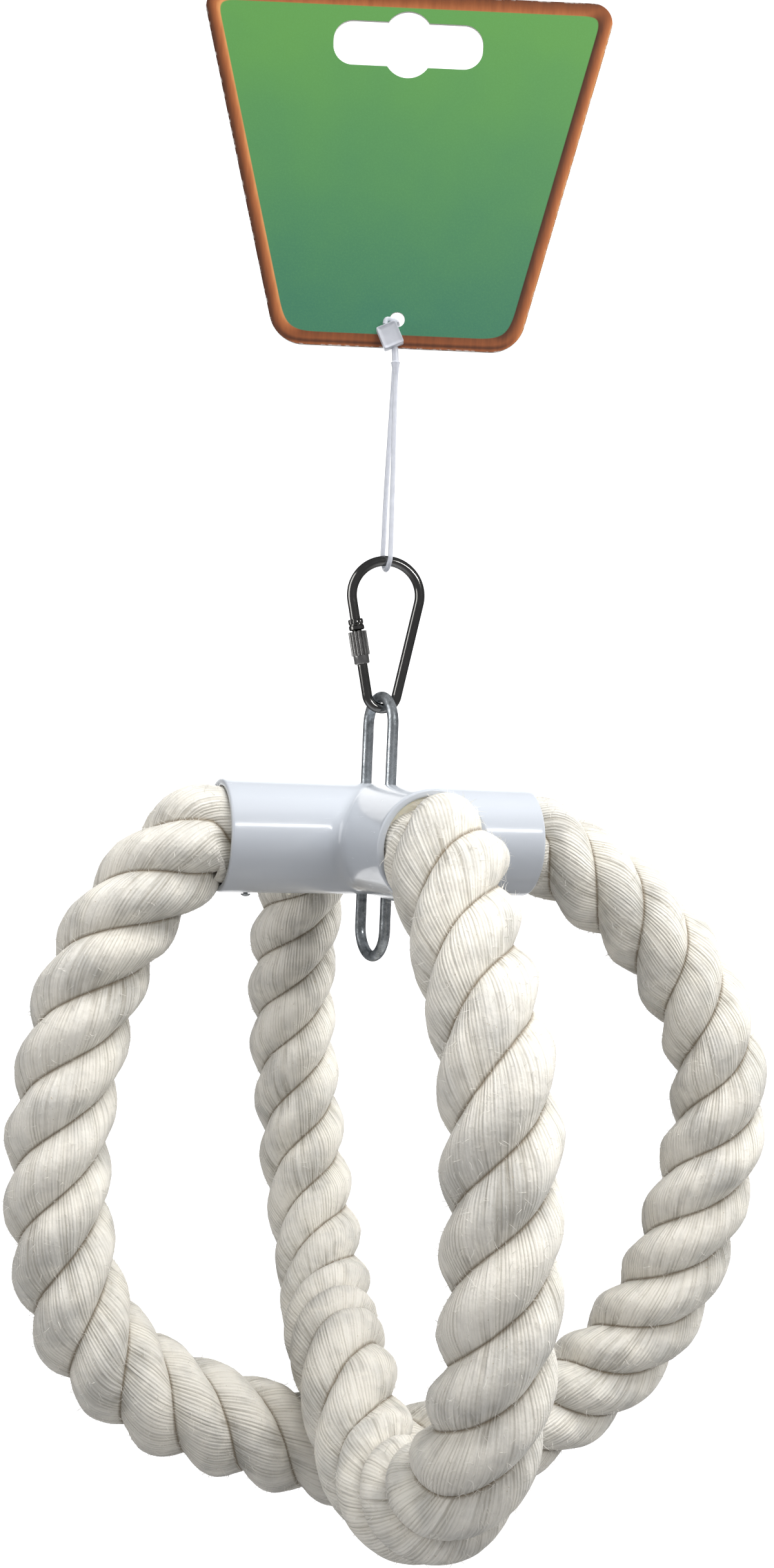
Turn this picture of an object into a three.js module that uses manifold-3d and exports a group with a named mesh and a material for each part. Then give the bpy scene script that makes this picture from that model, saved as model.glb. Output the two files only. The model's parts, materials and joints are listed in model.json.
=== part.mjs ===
// Rope cross ring for cage birds: two thick cotton ropes bent into crossing rings, held in a four-way
// plastic hub that hangs from a wire link, a screw-gate pear link and a tagged header card.
// Millimetres, +Z up. The origin is where a display peg bears on the card's slot.

import * as THREE from 'three';
import { mergeVertices } from 'three/addons/utils/BufferGeometryUtils.js';
import loadManifold from 'manifold-3d';

const wasm = await loadManifold();
wasm.setup();

// Gaps between pieces that touch
const CLEARANCE = 0.3;
const NUT_CLEARANCE = 0.25;
const ROPE_CROSSING_GAP = 0.6;

// Header card
const CARD_TOP_WIDTH = 95;
const CARD_HEIGHT = 80;
const CARD_SIDE_LEAN = 14;
const CARD_THICKNESS = 0.7;
const CARD_TOP_CORNER = 4.5;
const CARD_BOTTOM_CORNER = 8;
const SLOT_WIDTH = 34;
const SLOT_HEIGHT = 10;
const SLOT_CORNER = 4.4;
const SLOT_EYE_DIAMETER = 15;
const SLOT_EYE_TO_CARD_TOP = 3.8;
const TAG_HOLE_DIAMETER = 3.4;
const TAG_HOLE_TO_CARD_BOTTOM = 6.5;

// Nylon loop fastener
const STRAP_DIAMETER = 1.1;
const LOOP_REACH = 56;
const LOCK_WIDTH = 4.7;
const LOCK_HEIGHT = 5.3;
const LOCK_DEPTH = 3.2;
const LOCK_CORNER = 0.7;
const LOCK_TILT = 25;
const LOCK_ASIDE = 1.5;
const LOCK_BELOW_STRAP = 3.4;
const NECK_ASIDE = 0.2;
const NECK_DIAMETER = 2.1;
const NECK_STEM_DIAMETER = 1.5;
const NECK_LENGTH = 6;
const NECK_BARB_HEIGHT = 2.7;
const NECK_STEM_START = 4.2;

// Pear-shaped wire link with a screw nut
const PEAR_HEIGHT = 36;
const PEAR_WIDTH = 18;
const PEAR_WIRE = 2.3;
const PEAR_FOOT_RADIUS = 4.6;
const COLLAR_START = 4.3;
const COLLAR_DIAMETER = 3.5;
const COLLAR_LENGTH = 2.6;
const NUT_DIAMETER = 4.2;
const NUT_GRIP_LENGTH = 5.5;
const NUT_NOSE_DIAMETER = 3.6;
const NUT_NOSE_LENGTH = 2;
const NUT_FLUTES = 22;
const NUT_FLUTE_DEPTH = 0.16;
const UPPER_STUB = 1;
const GATE_OPENING = 4.2;

// Long wire link through the hub
const LINK_LENGTH = 62;
const LINK_WIDTH = 15.5;
const LINK_WIRE = 2.5;
const LINK_TOP_ABOVE_HUB_AXIS = 33.8;

// Four-way hub and the ropes in its sockets
const ROPE_DIAMETER = 21.5;
const HUB_WALL = 1.6;
const HUB_REACH = 37;
const HUB_MOUTH_ROUNDING = 0.5;
const GLUE_REACH = 14.7;
const ROPE_STRAIGHT = 3.2;

// Brads through the sockets
const BRAD_INSET = 6.7;
const BRAD_HEAD_DIAMETER = 2.2;
const BRAD_HEAD_HEIGHT = 0.55;
const BRAD_CROWN_DIAMETER = 1.3;
const BRAD_CROWN_DROP = 0.08;
const BRAD_RIM_HEIGHT = 0.14;
const BRAD_SHANK_DIAMETER = 1;
const BRAD_SHANK_LENGTH = 8;

// How the card with its loop, the pear link and the long link are turned about the vertical
const CARD_TURN = -19;
const PEAR_TURN = -10;
const LINK_TURN = -84;

// Depth of the side ring where the front ring crosses over it, from the hub axis to the rope's middle
const SIDE_RING_DROP = 143.5;

// Faces round each kind of tube, and steps along it
const ROPE_SIDES = 14;
const ROPE_STEPS = 88;
const WIRE_SIDES = 12;
const PEAR_STEPS = 84;
const LINK_STEPS = 72;
const STRAP_SIDES = 8;
const STRAP_STEPS = 76;
const HUB_SIDES = 48;

const HUB_BORE = ROPE_DIAMETER + 2 * CLEARANCE;
const HUB_DIAMETER = HUB_BORE + 2 * HUB_WALL;
const ROPE_END = GLUE_REACH + CLEARANCE;

// Heights, worked down from the peg
const cardTop = SLOT_EYE_TO_CARD_TOP;
const cardBottom = cardTop - CARD_HEIGHT;
const tagHoleHeight = cardBottom + TAG_HOLE_TO_CARD_BOTTOM;
const strapSeat = tagHoleHeight - TAG_HOLE_DIAMETER / 2 + CLEARANCE + STRAP_DIAMETER / 2;
const strapBend = PEAR_WIRE / 2 + CLEARANCE + STRAP_DIAMETER / 2;
const bowWireHeight = strapSeat - LOOP_REACH + strapBend;
const bowRadius = (PEAR_WIDTH - PEAR_WIRE) / 2;
const footRadius = PEAR_FOOT_RADIUS - PEAR_WIRE / 2;
const bowHeight = bowWireHeight - bowRadius;
const footHeight = bowHeight + PEAR_WIDTH / 2 - PEAR_HEIGHT + PEAR_FOOT_RADIUS;
const footWireHeight = footHeight - footRadius;
const linkTop = footWireHeight + PEAR_WIRE / 2 + CLEARANCE + LINK_WIRE;
const hubHeight = linkTop - LINK_TOP_ABOVE_HUB_AXIS;

const radians = THREE.MathUtils.degToRad;
const point = (x, y, z) => new THREE.Vector3(x, y, z);

// Colour and finish of each kind of piece
const finish = {
  card: { color: 0x4f9a52, roughness: 0.45, metalness: 0 },
  nylon: { color: 0xe4e9f4, roughness: 0.35, metalness: 0 },
  nickel: { color: 0x8f908c, roughness: 0.18, metalness: 1 },
  zinc: { color: 0x9aa2a6, roughness: 0.48, metalness: 1 },
  hub: { color: 0xe6ebf2, roughness: 0.2, metalness: 0 },
  glue: { color: 0xe9dfc0, roughness: 0.4, metalness: 0 },
  rope: { color: 0xe3ddcf, roughness: 0.95, metalness: 0 },
};

function piece(name, geometry, look) {
  const mesh = new THREE.Mesh(geometry, new THREE.MeshStandardMaterial(look));
  mesh.name = name;
  return mesh;
}

// Booleans on closed geometries

function toSolid(geometry) {
  const bare = geometry.clone();
  bare.deleteAttribute('normal');
  bare.deleteAttribute('uv');
  const merged = mergeVertices(bare, 1e-4);
  const vertProperties = new Float32Array(merged.attributes.position.array);
  const triVerts = new Uint32Array(merged.index.array);
  return new wasm.Manifold(new wasm.Mesh({ numProp: 3, vertProperties, triVerts }));
}

function toGeometry(solid) {
  const mesh = solid.getMesh();
  const geometry = new THREE.BufferGeometry();
  geometry.setAttribute('position', new THREE.BufferAttribute(new Float32Array(mesh.vertProperties), 3));
  geometry.setIndex(new THREE.BufferAttribute(new Uint32Array(mesh.triVerts), 1));
  return geometry;
}

function combine(base, added, removed) {
  let solid = toSolid(base);
  for (const geometry of added) {
    solid = solid.add(toSolid(geometry));
  }
  for (const geometry of removed) {
    solid = solid.subtract(toSolid(geometry));
  }
  return toGeometry(solid);
}

// Simple forms

function circleShape(diameter, sides) {
  const shape = new THREE.Shape();
  shape.setFromPoints(new THREE.EllipseCurve(0, 0, diameter / 2, diameter / 2).getPoints(sides).slice(0, sides));
  return shape;
}

function tube(path, diameter, sides, steps) {
  return new THREE.ExtrudeGeometry(circleShape(diameter, sides), { extrudePath: path, steps });
}

function rod(diameter, from, to, sides) {
  return tube(new THREE.LineCurve3(from, to), diameter, sides, 1);
}

// A solid of revolution about Z, from [radius, height] pairs that start and end on the axis
function turned(profile, sides) {
  const outline = profile.map(([radius, height]) => new THREE.Vector2(radius, height));
  return new THREE.LatheGeometry(outline, sides).rotateX(Math.PI / 2);
}

// Header card

function roundedCorner(path, corner, before, after, radius) {
  const toBefore = before.clone().sub(corner).normalize();
  const toAfter = after.clone().sub(corner).normalize();
  const half = Math.acos(toBefore.dot(toAfter)) / 2;
  const start = corner.clone().addScaledVector(toBefore, radius / Math.tan(half));
  const end = corner.clone().addScaledVector(toAfter, radius / Math.tan(half));
  path.lineTo(start.x, start.y);
  path.quadraticCurveTo(corner.x, corner.y, end.x, end.y);
}

function cardOutline() {
  const taper = CARD_HEIGHT * Math.tan(radians(CARD_SIDE_LEAN));
  const halfTop = CARD_TOP_WIDTH / 2;
  const halfBottom = halfTop - taper;
  const corners = [
    new THREE.Vector2(-halfBottom, cardBottom),
    new THREE.Vector2(halfBottom, cardBottom),
    new THREE.Vector2(halfTop, cardTop),
    new THREE.Vector2(-halfTop, cardTop),
  ];
  const radii = [CARD_BOTTOM_CORNER, CARD_BOTTOM_CORNER, CARD_TOP_CORNER, CARD_TOP_CORNER];
  const shape = new THREE.Shape();
  shape.moveTo(0, cardBottom);
  for (const step of [1, 2, 3, 0]) {
    roundedCorner(shape, corners[step], corners[(step + 3) % 4], corners[(step + 1) % 4], radii[step]);
  }
  shape.closePath();
  return shape;
}

// The slot: two round-cornered arms that meet in a round eye, whose top is at the peg
function slotOutline() {
  const eye = SLOT_EYE_DIAMETER / 2;
  const arm = SLOT_HEIGHT / 2;
  const middle = -eye;
  const reach = SLOT_WIDTH / 2 - SLOT_CORNER;
  const meet = Math.asin(arm / eye);
  const slot = new THREE.Path();
  slot.absarc(reach, middle - arm + SLOT_CORNER, SLOT_CORNER, -Math.PI / 2, 0, false);
  slot.absarc(reach, middle + arm - SLOT_CORNER, SLOT_CORNER, 0, Math.PI / 2, false);
  slot.absarc(0, middle, eye, meet, Math.PI - meet, false);
  slot.absarc(-reach, middle + arm - SLOT_CORNER, SLOT_CORNER, Math.PI / 2, Math.PI, false);
  slot.absarc(-reach, middle - arm + SLOT_CORNER, SLOT_CORNER, Math.PI, Math.PI * 1.5, false);
  slot.absarc(0, middle, eye, Math.PI + meet, Math.PI * 2 - meet, false);
  slot.closePath();
  return slot;
}

function headerCard() {
  const outline = cardOutline();
  outline.holes.push(slotOutline());
  outline.holes.push(new THREE.Path().absarc(0, tagHoleHeight, TAG_HOLE_DIAMETER / 2, 0, Math.PI * 2, true));
  const card = new THREE.ExtrudeGeometry(outline, {
    depth: CARD_THICKNESS,
    bevelEnabled: false,
    curveSegments: 8,
  });
  return card.translate(0, 0, -CARD_THICKNESS / 2).rotateX(Math.PI / 2);
}

// Nylon loop: from the lock, through the card's hole, down behind, under the bow and up in front to the lock

const lockFront = CARD_THICKNESS / 2 + CLEARANCE + LOCK_DEPTH / 2;
const lockPlace = point(-LOCK_ASIDE, -lockFront, strapSeat - LOCK_BELOW_STRAP);
const lockAxis = point(-Math.sin(radians(LOCK_TILT)), 0, Math.cos(radians(LOCK_TILT)));
const lockTop = lockPlace.clone().addScaledVector(lockAxis, LOCK_HEIGHT / 2 + CLEARANCE);
const lockFoot = lockPlace.clone().addScaledVector(lockAxis, -LOCK_HEIGHT / 2 - CLEARANCE);
const neckFoot = point(NECK_ASIDE, -lockFront, lockFoot.z - NECK_LENGTH);

// Stops of the strap: [across, share of the way out to the lock or behind the card, above the hole's seat],
// then [across, share of the bend's radius to the back, above the bow], and the half turn under the bow
const strapBeforeCard = [[-2.45, -0.95, 0.3], [-0.9, -0.55, 0.45], [0, 0, 0.15]];
const strapBehindCard = [[0.1, 0.85, -0.5], [0, 1, -4], [-0.4, 1, -18]];
const strapBehindBow = [[-0.9, 1.1, 16], [-1, 1.05, 6]];
const strapUnderBow = { from: -1, to: 0.6, slack: 0.05, turns: [0, 30, 60, 90, 120, 150, 180] };
const strapBeforeBow = [[0.6, -1.05, 6], [0.5, -1.05, 16]];

function strapPath() {
  const behindCard = CARD_THICKNESS / 2 + 2 * CLEARANCE + STRAP_DIAMETER;
  const placed = (depth, height) => ([across, share, up]) => point(across, share * depth, height + up);
  const bend = strapBend + strapUnderBow.slack;
  const under = strapUnderBow.turns.map((turn) => point(
    THREE.MathUtils.lerp(strapUnderBow.from, strapUnderBow.to, turn / 180),
    bend * Math.cos(radians(turn)),
    bowWireHeight - bend * Math.sin(radians(turn)),
  ));
  return new THREE.CatmullRomCurve3([
    lockTop,
    ...strapBeforeCard.map(placed(lockFront, strapSeat)),
    ...strapBehindCard.map(placed(behindCard, strapSeat)),
    ...strapBehindBow.map(placed(strapBend, bowWireHeight)),
    ...under,
    ...strapBeforeBow.map(placed(strapBend, bowWireHeight)),
    neckFoot.clone().setZ(neckFoot.z - NECK_LENGTH),
    neckFoot,
  ], false, 'centripetal');
}

function tagLoop() {
  const strap = tube(strapPath(), STRAP_DIAMETER, STRAP_SIDES, STRAP_STEPS);
  const neck = turned([
    [0, 0],
    [STRAP_DIAMETER / 2, 0],
    [NECK_DIAMETER / 2, NECK_BARB_HEIGHT],
    [NECK_STEM_DIAMETER / 2, NECK_STEM_START],
    [NECK_STEM_DIAMETER / 2, NECK_LENGTH],
    [0, NECK_LENGTH],
  ], STRAP_SIDES);
  const lean = new THREE.Quaternion().setFromUnitVectors(
    point(0, 0, 1),
    lockFoot.clone().sub(neckFoot).normalize(),
  );
  neck.scale(1, 1, lockFoot.distanceTo(neckFoot) / NECK_LENGTH);
  neck.applyQuaternion(lean).translate(neckFoot.x, neckFoot.y, neckFoot.z);
  return combine(strap, [neck], []);
}

function tagLoopLock() {
  const halfWidth = LOCK_WIDTH / 2;
  const halfHeight = LOCK_HEIGHT / 2;
  const corners = [
    new THREE.Vector2(halfWidth, -halfHeight),
    new THREE.Vector2(halfWidth, halfHeight),
    new THREE.Vector2(-halfWidth, halfHeight),
    new THREE.Vector2(-halfWidth, -halfHeight),
  ];
  const outline = new THREE.Shape();
  outline.moveTo(0, -halfHeight);
  corners.forEach((corner, step) => {
    roundedCorner(outline, corner, corners[(step + 3) % 4], corners[(step + 1) % 4], LOCK_CORNER);
  });
  outline.closePath();
  const block = new THREE.ExtrudeGeometry(outline, { depth: LOCK_DEPTH, bevelEnabled: false, curveSegments: 4 });
  block.translate(0, 0, -LOCK_DEPTH / 2).rotateX(Math.PI / 2).rotateY(-radians(LOCK_TILT));
  return block.translate(lockPlace.x, lockPlace.y, lockPlace.z);
}

// Pear link: the wire runs from the collar over the bow, down the right leg and round the foot to the gate

const legLean = Math.asin((bowRadius - footRadius) / (bowHeight - footHeight));
const legTop = point(-bowRadius * Math.cos(legLean), 0, bowHeight - bowRadius * Math.sin(legLean));
const legDown = point(Math.sin(legLean), 0, -Math.cos(legLean));
const nutStart = COLLAR_START + COLLAR_LENGTH + CLEARANCE;
const alongLeg = (distance) => legTop.clone().addScaledVector(legDown, distance);

class PlaneArc extends THREE.Curve {
  constructor(height, radius, from, to) {
    super();
    Object.assign(this, { height, radius, from, to });
  }

  getPoint(share, target = new THREE.Vector3()) {
    const angle = THREE.MathUtils.lerp(this.from, this.to, share);
    return target.set(this.radius * Math.cos(angle), 0, this.height + this.radius * Math.sin(angle));
  }
}

// Stands a solid of revolution on the gate leg, with its own +Z along the leg
function onLeg(geometry, distance) {
  const lean = new THREE.Quaternion().setFromUnitVectors(point(0, 0, 1), legDown);
  const place = alongLeg(distance);
  return geometry.applyQuaternion(lean).translate(place.x, place.y, place.z);
}

function carabinerBody() {
  const upperEnd = alongLeg(nutStart + UPPER_STUB);
  const lowerEnd = alongLeg(nutStart + UPPER_STUB + GATE_OPENING);
  const rightTop = legTop.clone().multiply(point(-1, 1, 1));
  const rightFoot = point(footRadius * Math.cos(legLean), 0, footHeight - footRadius * Math.sin(legLean));
  const leftFoot = rightFoot.clone().multiply(point(-1, 1, 1));
  const path = new THREE.CurvePath();
  path.add(new THREE.LineCurve3(upperEnd, legTop));
  path.add(new PlaneArc(bowHeight, bowRadius, Math.PI + legLean, -legLean));
  path.add(new THREE.LineCurve3(rightTop, rightFoot));
  path.add(new PlaneArc(footHeight, footRadius, -legLean, legLean - Math.PI));
  path.add(new THREE.LineCurve3(leftFoot, lowerEnd));
  const collar = onLeg(turned([
    [0, 0],
    [COLLAR_DIAMETER / 2 - CLEARANCE, 0],
    [COLLAR_DIAMETER / 2, CLEARANCE],
    [COLLAR_DIAMETER / 2, COLLAR_LENGTH],
    [0, COLLAR_LENGTH],
  ], WIRE_SIDES * 2), COLLAR_START);
  return combine(tube(path, PEAR_WIRE, WIRE_SIDES, PEAR_STEPS), [collar], []);
}

function carabinerNut() {
  const bore = PEAR_WIRE + 2 * NUT_CLEARANCE;
  const flutes = Array.from({ length: NUT_FLUTES * 2 }, (_, step) => {
    const radius = NUT_DIAMETER / 2 - (step % 2) * NUT_FLUTE_DEPTH;
    const angle = (step / NUT_FLUTES) * Math.PI;
    return new THREE.Vector2(radius * Math.cos(angle), radius * Math.sin(angle));
  });
  const grip = new THREE.ExtrudeGeometry(new THREE.Shape(flutes), {
    depth: NUT_GRIP_LENGTH,
    bevelEnabled: false,
  });
  const length = NUT_GRIP_LENGTH + NUT_NOSE_LENGTH;
  const nose = rod(NUT_NOSE_DIAMETER, point(0, 0, NUT_GRIP_LENGTH / 2), point(0, 0, length), WIRE_SIDES * 2);
  const hole = rod(bore, point(0, 0, -1), point(0, 0, length + 1), WIRE_SIDES * 2);
  return onLeg(combine(grip, [nose], [hole]), nutStart);
}

// Long oval link: two straight strands joined by half-round bends, modelled about the hub's middle

const strandOffset = (LINK_WIDTH - LINK_WIRE) / 2;
const linkTurn = radians(LINK_TURN);
const linkAcross = point(Math.cos(linkTurn), Math.sin(linkTurn), 0);
const strandTop = LINK_TOP_ABOVE_HUB_AXIS - LINK_WIDTH / 2;
const strandFoot = LINK_TOP_ABOVE_HUB_AXIS - LINK_LENGTH + LINK_WIDTH / 2;

class OvalLink extends THREE.Curve {
  getPoint(share, target = new THREE.Vector3()) {
    const straight = strandTop - strandFoot;
    const bend = Math.PI * strandOffset;
    let along = share * 2 * (straight + bend);
    const side = along < straight + bend ? 1 : -1;
    along = side > 0 ? along : along - straight - bend;
    const angle = Math.max(0, along - straight) / strandOffset;
    const across = side * strandOffset * Math.cos(angle);
    const end = side > 0 ? strandTop : strandFoot;
    const height = along < straight ? end - side * (straight - along) : end + side * strandOffset * Math.sin(angle);
    return target.copy(linkAcross).multiplyScalar(across).setZ(height);
  }
}

function hangingLink() {
  return new THREE.TubeGeometry(new OvalLink(), LINK_STEPS, LINK_WIRE / 2, WIRE_SIDES, true);
}

function linkStrands(diameter, from, to) {
  return [1, -1].map((side) => {
    const foot = linkAcross.clone().multiplyScalar(side * strandOffset);
    return rod(diameter, foot.clone().setZ(from), foot.clone().setZ(to), WIRE_SIDES * 2);
  });
}

// Hub: two crossing tubes with open sockets, drilled for the link and the brads

// Directions from the hub's middle out of each socket
const sockets = {
  left: point(-1, 0, 0),
  right: point(1, 0, 0),
  front: point(0, -1, 0),
  back: point(0, 1, 0),
};

function bradHole(out, bottom, top) {
  const foot = out.clone().multiplyScalar(HUB_REACH - BRAD_INSET);
  const width = BRAD_SHANK_DIAMETER + 2 * CLEARANCE;
  return rod(width, foot.clone().setZ(bottom), foot.clone().setZ(top), WIRE_SIDES);
}

const bradTop = BRAD_SHANK_LENGTH - HUB_DIAMETER / 2 - CLEARANCE;

function alongX(geometry) {
  return geometry.rotateY(Math.PI / 2);
}

function alongY(geometry) {
  return geometry.rotateX(Math.PI / 2);
}

function hubTube() {
  const radius = HUB_DIAMETER / 2;
  return turned([
    [0, -HUB_REACH],
    [radius - HUB_MOUTH_ROUNDING, -HUB_REACH],
    [radius, -HUB_REACH + HUB_MOUTH_ROUNDING],
    [radius, HUB_REACH - HUB_MOUTH_ROUNDING],
    [radius - HUB_MOUTH_ROUNDING, HUB_REACH],
    [0, HUB_REACH],
  ], HUB_SIDES);
}

function bore(diameter, reach) {
  return rod(diameter, point(0, 0, -reach), point(0, 0, reach), HUB_SIDES);
}

function crossHub() {
  const past = HUB_REACH + HUB_WALL;
  const bores = [alongX(bore(HUB_BORE, past)), alongY(bore(HUB_BORE, past))];
  const linkHoles = linkStrands(LINK_WIRE + 2 * CLEARANCE, -HUB_DIAMETER, HUB_DIAMETER);
  const bradHoles = Object.values(sockets).map((out) => bradHole(out, -HUB_DIAMETER, 0));
  return combine(alongX(hubTube()), [alongY(hubTube())], [...bores, ...linkHoles, ...bradHoles]);
}

function glueCore() {
  const width = HUB_BORE - 2 * CLEARANCE;
  const linkHoles = linkStrands(LINK_WIRE + 2 * CLEARANCE, -HUB_DIAMETER, HUB_DIAMETER);
  return combine(alongX(bore(width, GLUE_REACH)), [alongY(bore(width, GLUE_REACH))], linkHoles);
}

// Ropes: each route leaves its socket straight and sags round to the opposite one.
// A point is [out of the nearer socket's mouth, towards +X or +Y sideways, share of the ring's drop].

const sideRoute = {
  left: [
    [10, 0, 0.042], [16.9, 0, 0.096], [22.3, 0, 0.157], [26.7, 0, 0.228], [29.9, 0, 0.317],
    [32.1, 0, 0.42], [32.6, 0, 0.527], [31, 0, 0.629], [27, 0.2, 0.722], [19.3, 0.7, 0.804],
    [8.3, 1.4, 0.868], [-6, 2.1, 0.918], [-21, 2.7, 0.96],
  ],
  middle: [[0, 2.6, 0.994]],
  right: [
    [-19, 1, 1.005], [-2, -2, 0.979], [11.5, -4.2, 0.932], [21, -6.5, 0.884], [27.5, -9, 0.83],
    [32.5, -11.5, 0.77], [36.5, -14, 0.703], [39.7, -15.5, 0.625], [42.8, -16.5, 0.543],
    [45.4, -16.5, 0.462], [46.3, -15.5, 0.383], [44.1, -13.5, 0.299], [39.2, -10.5, 0.221],
    [32, -8, 0.149], [23.6, -5, 0.09], [13.6, -2, 0.043],
  ],
};

const frontRoute = {
  front: [
    [11.5, -0.8, 0.045], [20, -1.2, 0.115], [28.5, -1.4, 0.19], [35.8, -1.5, 0.262], [40.8, -1.5, 0.34],
    [43.2, -1.3, 0.435], [44.3, -1.2, 0.54], [45.2, -1.2, 0.64], [45, -1.3, 0.735], [42.5, -1.6, 0.83],
    [38, -2.2, 0.922], [28, -3.1, 1.012], [14, -4, 1.073], [1, -4.6, 1.095], [-10.5, -5, 1.083],
    [-18.5, -5, 1.049], [-25.5, -4.7, 1.012],
  ],
  middle: [[-3, -3.9, 0.985]],
  back: [
    [-27, -1.6, 0.978], [-15, 1, 0.973], [-4, 3.2, 0.945], [6, 4.5, 0.891], [15, 4.8, 0.816],
    [21.5, 4.2, 0.722], [25.5, 3.4, 0.617], [27.5, 2, 0.502], [27, 0.7, 0.387], [24.5, -0.3, 0.28],
    [20.5, -0.6, 0.181], [15.5, -0.6, 0.096], [9.5, -0.3, 0.034],
  ],
};

const crossingDrop = SIDE_RING_DROP - ROPE_DIAMETER - ROPE_CROSSING_GAP;

function ropePath(start, startPoints, middlePoints, endPoints, drop) {
  const end = start.clone().negate();
  const across = point(Math.abs(start.y), Math.abs(start.x), 0);
  const placed = (out, reach) => ([along, aside, share]) => out
    .clone()
    .multiplyScalar(reach + along)
    .addScaledVector(across, aside)
    .setZ(-share * drop);
  const stops = [ROPE_END, (ROPE_END + HUB_REACH) / 2, HUB_REACH, HUB_REACH + ROPE_STRAIGHT];
  const tail = (out) => stops.map((reach) => out.clone().multiplyScalar(reach));
  return new THREE.CatmullRomCurve3([
    ...tail(start),
    ...startPoints.map(placed(start, HUB_REACH)),
    ...middlePoints.map(placed(end, 0)),
    ...endPoints.map(placed(end, HUB_REACH)),
    ...tail(end).reverse(),
  ], false, 'centripetal');
}

function rope(path, firstSocket, lastSocket) {
  const holes = [firstSocket, lastSocket].map((out) => bradHole(out, -HUB_DIAMETER, bradTop + CLEARANCE));
  return combine(tube(path, ROPE_DIAMETER, ROPE_SIDES, ROPE_STEPS), [], holes);
}

// Brads: a domed head under the socket and a pointed shank up into the rope

function brad(out) {
  const seat = -CLEARANCE;
  const shank = BRAD_SHANK_DIAMETER / 2;
  const nail = turned([
    [0, seat - BRAD_HEAD_HEIGHT],
    [BRAD_CROWN_DIAMETER / 2, seat - BRAD_HEAD_HEIGHT + BRAD_CROWN_DROP],
    [BRAD_HEAD_DIAMETER / 2, seat - BRAD_RIM_HEIGHT],
    [BRAD_HEAD_DIAMETER / 2, seat],
    [shank, seat],
    [shank, seat + BRAD_SHANK_LENGTH - BRAD_SHANK_DIAMETER],
    [0, seat + BRAD_SHANK_LENGTH],
  ], WIRE_SIDES);
  const place = out.clone().multiplyScalar(HUB_REACH - BRAD_INSET).setZ(-HUB_DIAMETER / 2);
  return nail.translate(place.x, place.y, place.z);
}

// The assembly: card and loop share one turn, and the toy is built about the hub's middle

const hanger = new THREE.Group();
hanger.rotation.z = radians(CARD_TURN);
hanger.add(
  piece('header_card', headerCard(), finish.card),
  piece('tag_loop', tagLoop(), finish.nylon),
  piece('tag_loop_lock', tagLoopLock(), finish.nylon),
);

const carabiner = new THREE.Group();
carabiner.rotation.z = radians(PEAR_TURN);
carabiner.add(
  piece('carabiner_body', carabinerBody(), finish.nickel),
  piece('carabiner_nut', carabinerNut(), finish.nickel),
);

const sideRopePath = ropePath(sockets.left, sideRoute.left, sideRoute.middle, sideRoute.right, SIDE_RING_DROP);
const frontRopePath = ropePath(sockets.front, frontRoute.front, frontRoute.middle, frontRoute.back, crossingDrop);

const toy = new THREE.Group();
toy.position.z = hubHeight;
toy.add(
  piece('hanging_link', hangingLink(), finish.zinc),
  piece('cross_hub', crossHub(), finish.hub),
  piece('glue_core', glueCore(), finish.glue),
  piece('side_rope', rope(sideRopePath, sockets.left, sockets.right), finish.rope),
  piece('front_rope', rope(frontRopePath, sockets.front, sockets.back), finish.rope),
  ...Object.entries(sockets).map(([side, out]) => piece(`brad_${side}`, brad(out), finish.zinc)),
);

const part = new THREE.Group();
part.add(hanger, carabiner, toy);

export default part;
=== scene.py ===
"""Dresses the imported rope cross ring: laid cotton ropes, moulded hub, wire links, nylon loop and header card.

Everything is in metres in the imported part's frame, with +Z up and the peg of the card's slot at the origin.
"""

import json
import math

import bmesh
import bpy
import numpy as np
from mathutils import Matrix, Vector

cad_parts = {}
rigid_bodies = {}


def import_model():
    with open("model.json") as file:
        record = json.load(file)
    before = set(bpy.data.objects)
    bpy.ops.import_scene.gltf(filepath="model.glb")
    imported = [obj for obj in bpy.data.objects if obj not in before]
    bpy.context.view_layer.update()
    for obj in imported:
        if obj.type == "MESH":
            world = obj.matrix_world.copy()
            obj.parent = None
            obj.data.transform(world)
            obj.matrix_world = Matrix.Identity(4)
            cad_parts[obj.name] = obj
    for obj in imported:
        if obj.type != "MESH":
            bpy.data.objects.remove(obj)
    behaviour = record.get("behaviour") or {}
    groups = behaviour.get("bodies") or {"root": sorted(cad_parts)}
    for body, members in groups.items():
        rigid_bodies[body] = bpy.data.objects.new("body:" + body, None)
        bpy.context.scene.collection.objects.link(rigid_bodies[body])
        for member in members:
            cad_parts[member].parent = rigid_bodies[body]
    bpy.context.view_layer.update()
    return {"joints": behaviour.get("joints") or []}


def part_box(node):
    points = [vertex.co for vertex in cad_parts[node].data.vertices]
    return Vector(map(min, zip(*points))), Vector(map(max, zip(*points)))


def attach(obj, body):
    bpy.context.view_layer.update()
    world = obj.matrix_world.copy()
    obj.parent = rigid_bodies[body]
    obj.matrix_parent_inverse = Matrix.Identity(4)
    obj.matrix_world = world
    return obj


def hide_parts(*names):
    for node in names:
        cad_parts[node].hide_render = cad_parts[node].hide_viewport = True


bl_info = {
    "name": "Rope Cross Ring",
    "version": (1, 0, 0),
    "blender": (4, 5, 0),
    "location": "3D View > Sidebar > Rope Ring",
    "description": "Builds the finished pieces of a hanging rope perch round its packed frame",
    "category": "Object",
}

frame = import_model()

MM = 0.001
UP = Vector((0, 0, 1))


def middle(node):
    """The middle of a CAD node's box."""
    low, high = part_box(node)
    return (low + high) / 2


def joint_place(name):
    """Where a joint's axis passes, and its direction."""
    joint = next(j for j in frame["joints"] if j["name"] == name)
    return Vector(joint.get("pos_m", (0, 0, 0))), Vector(joint["axis"])


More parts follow.
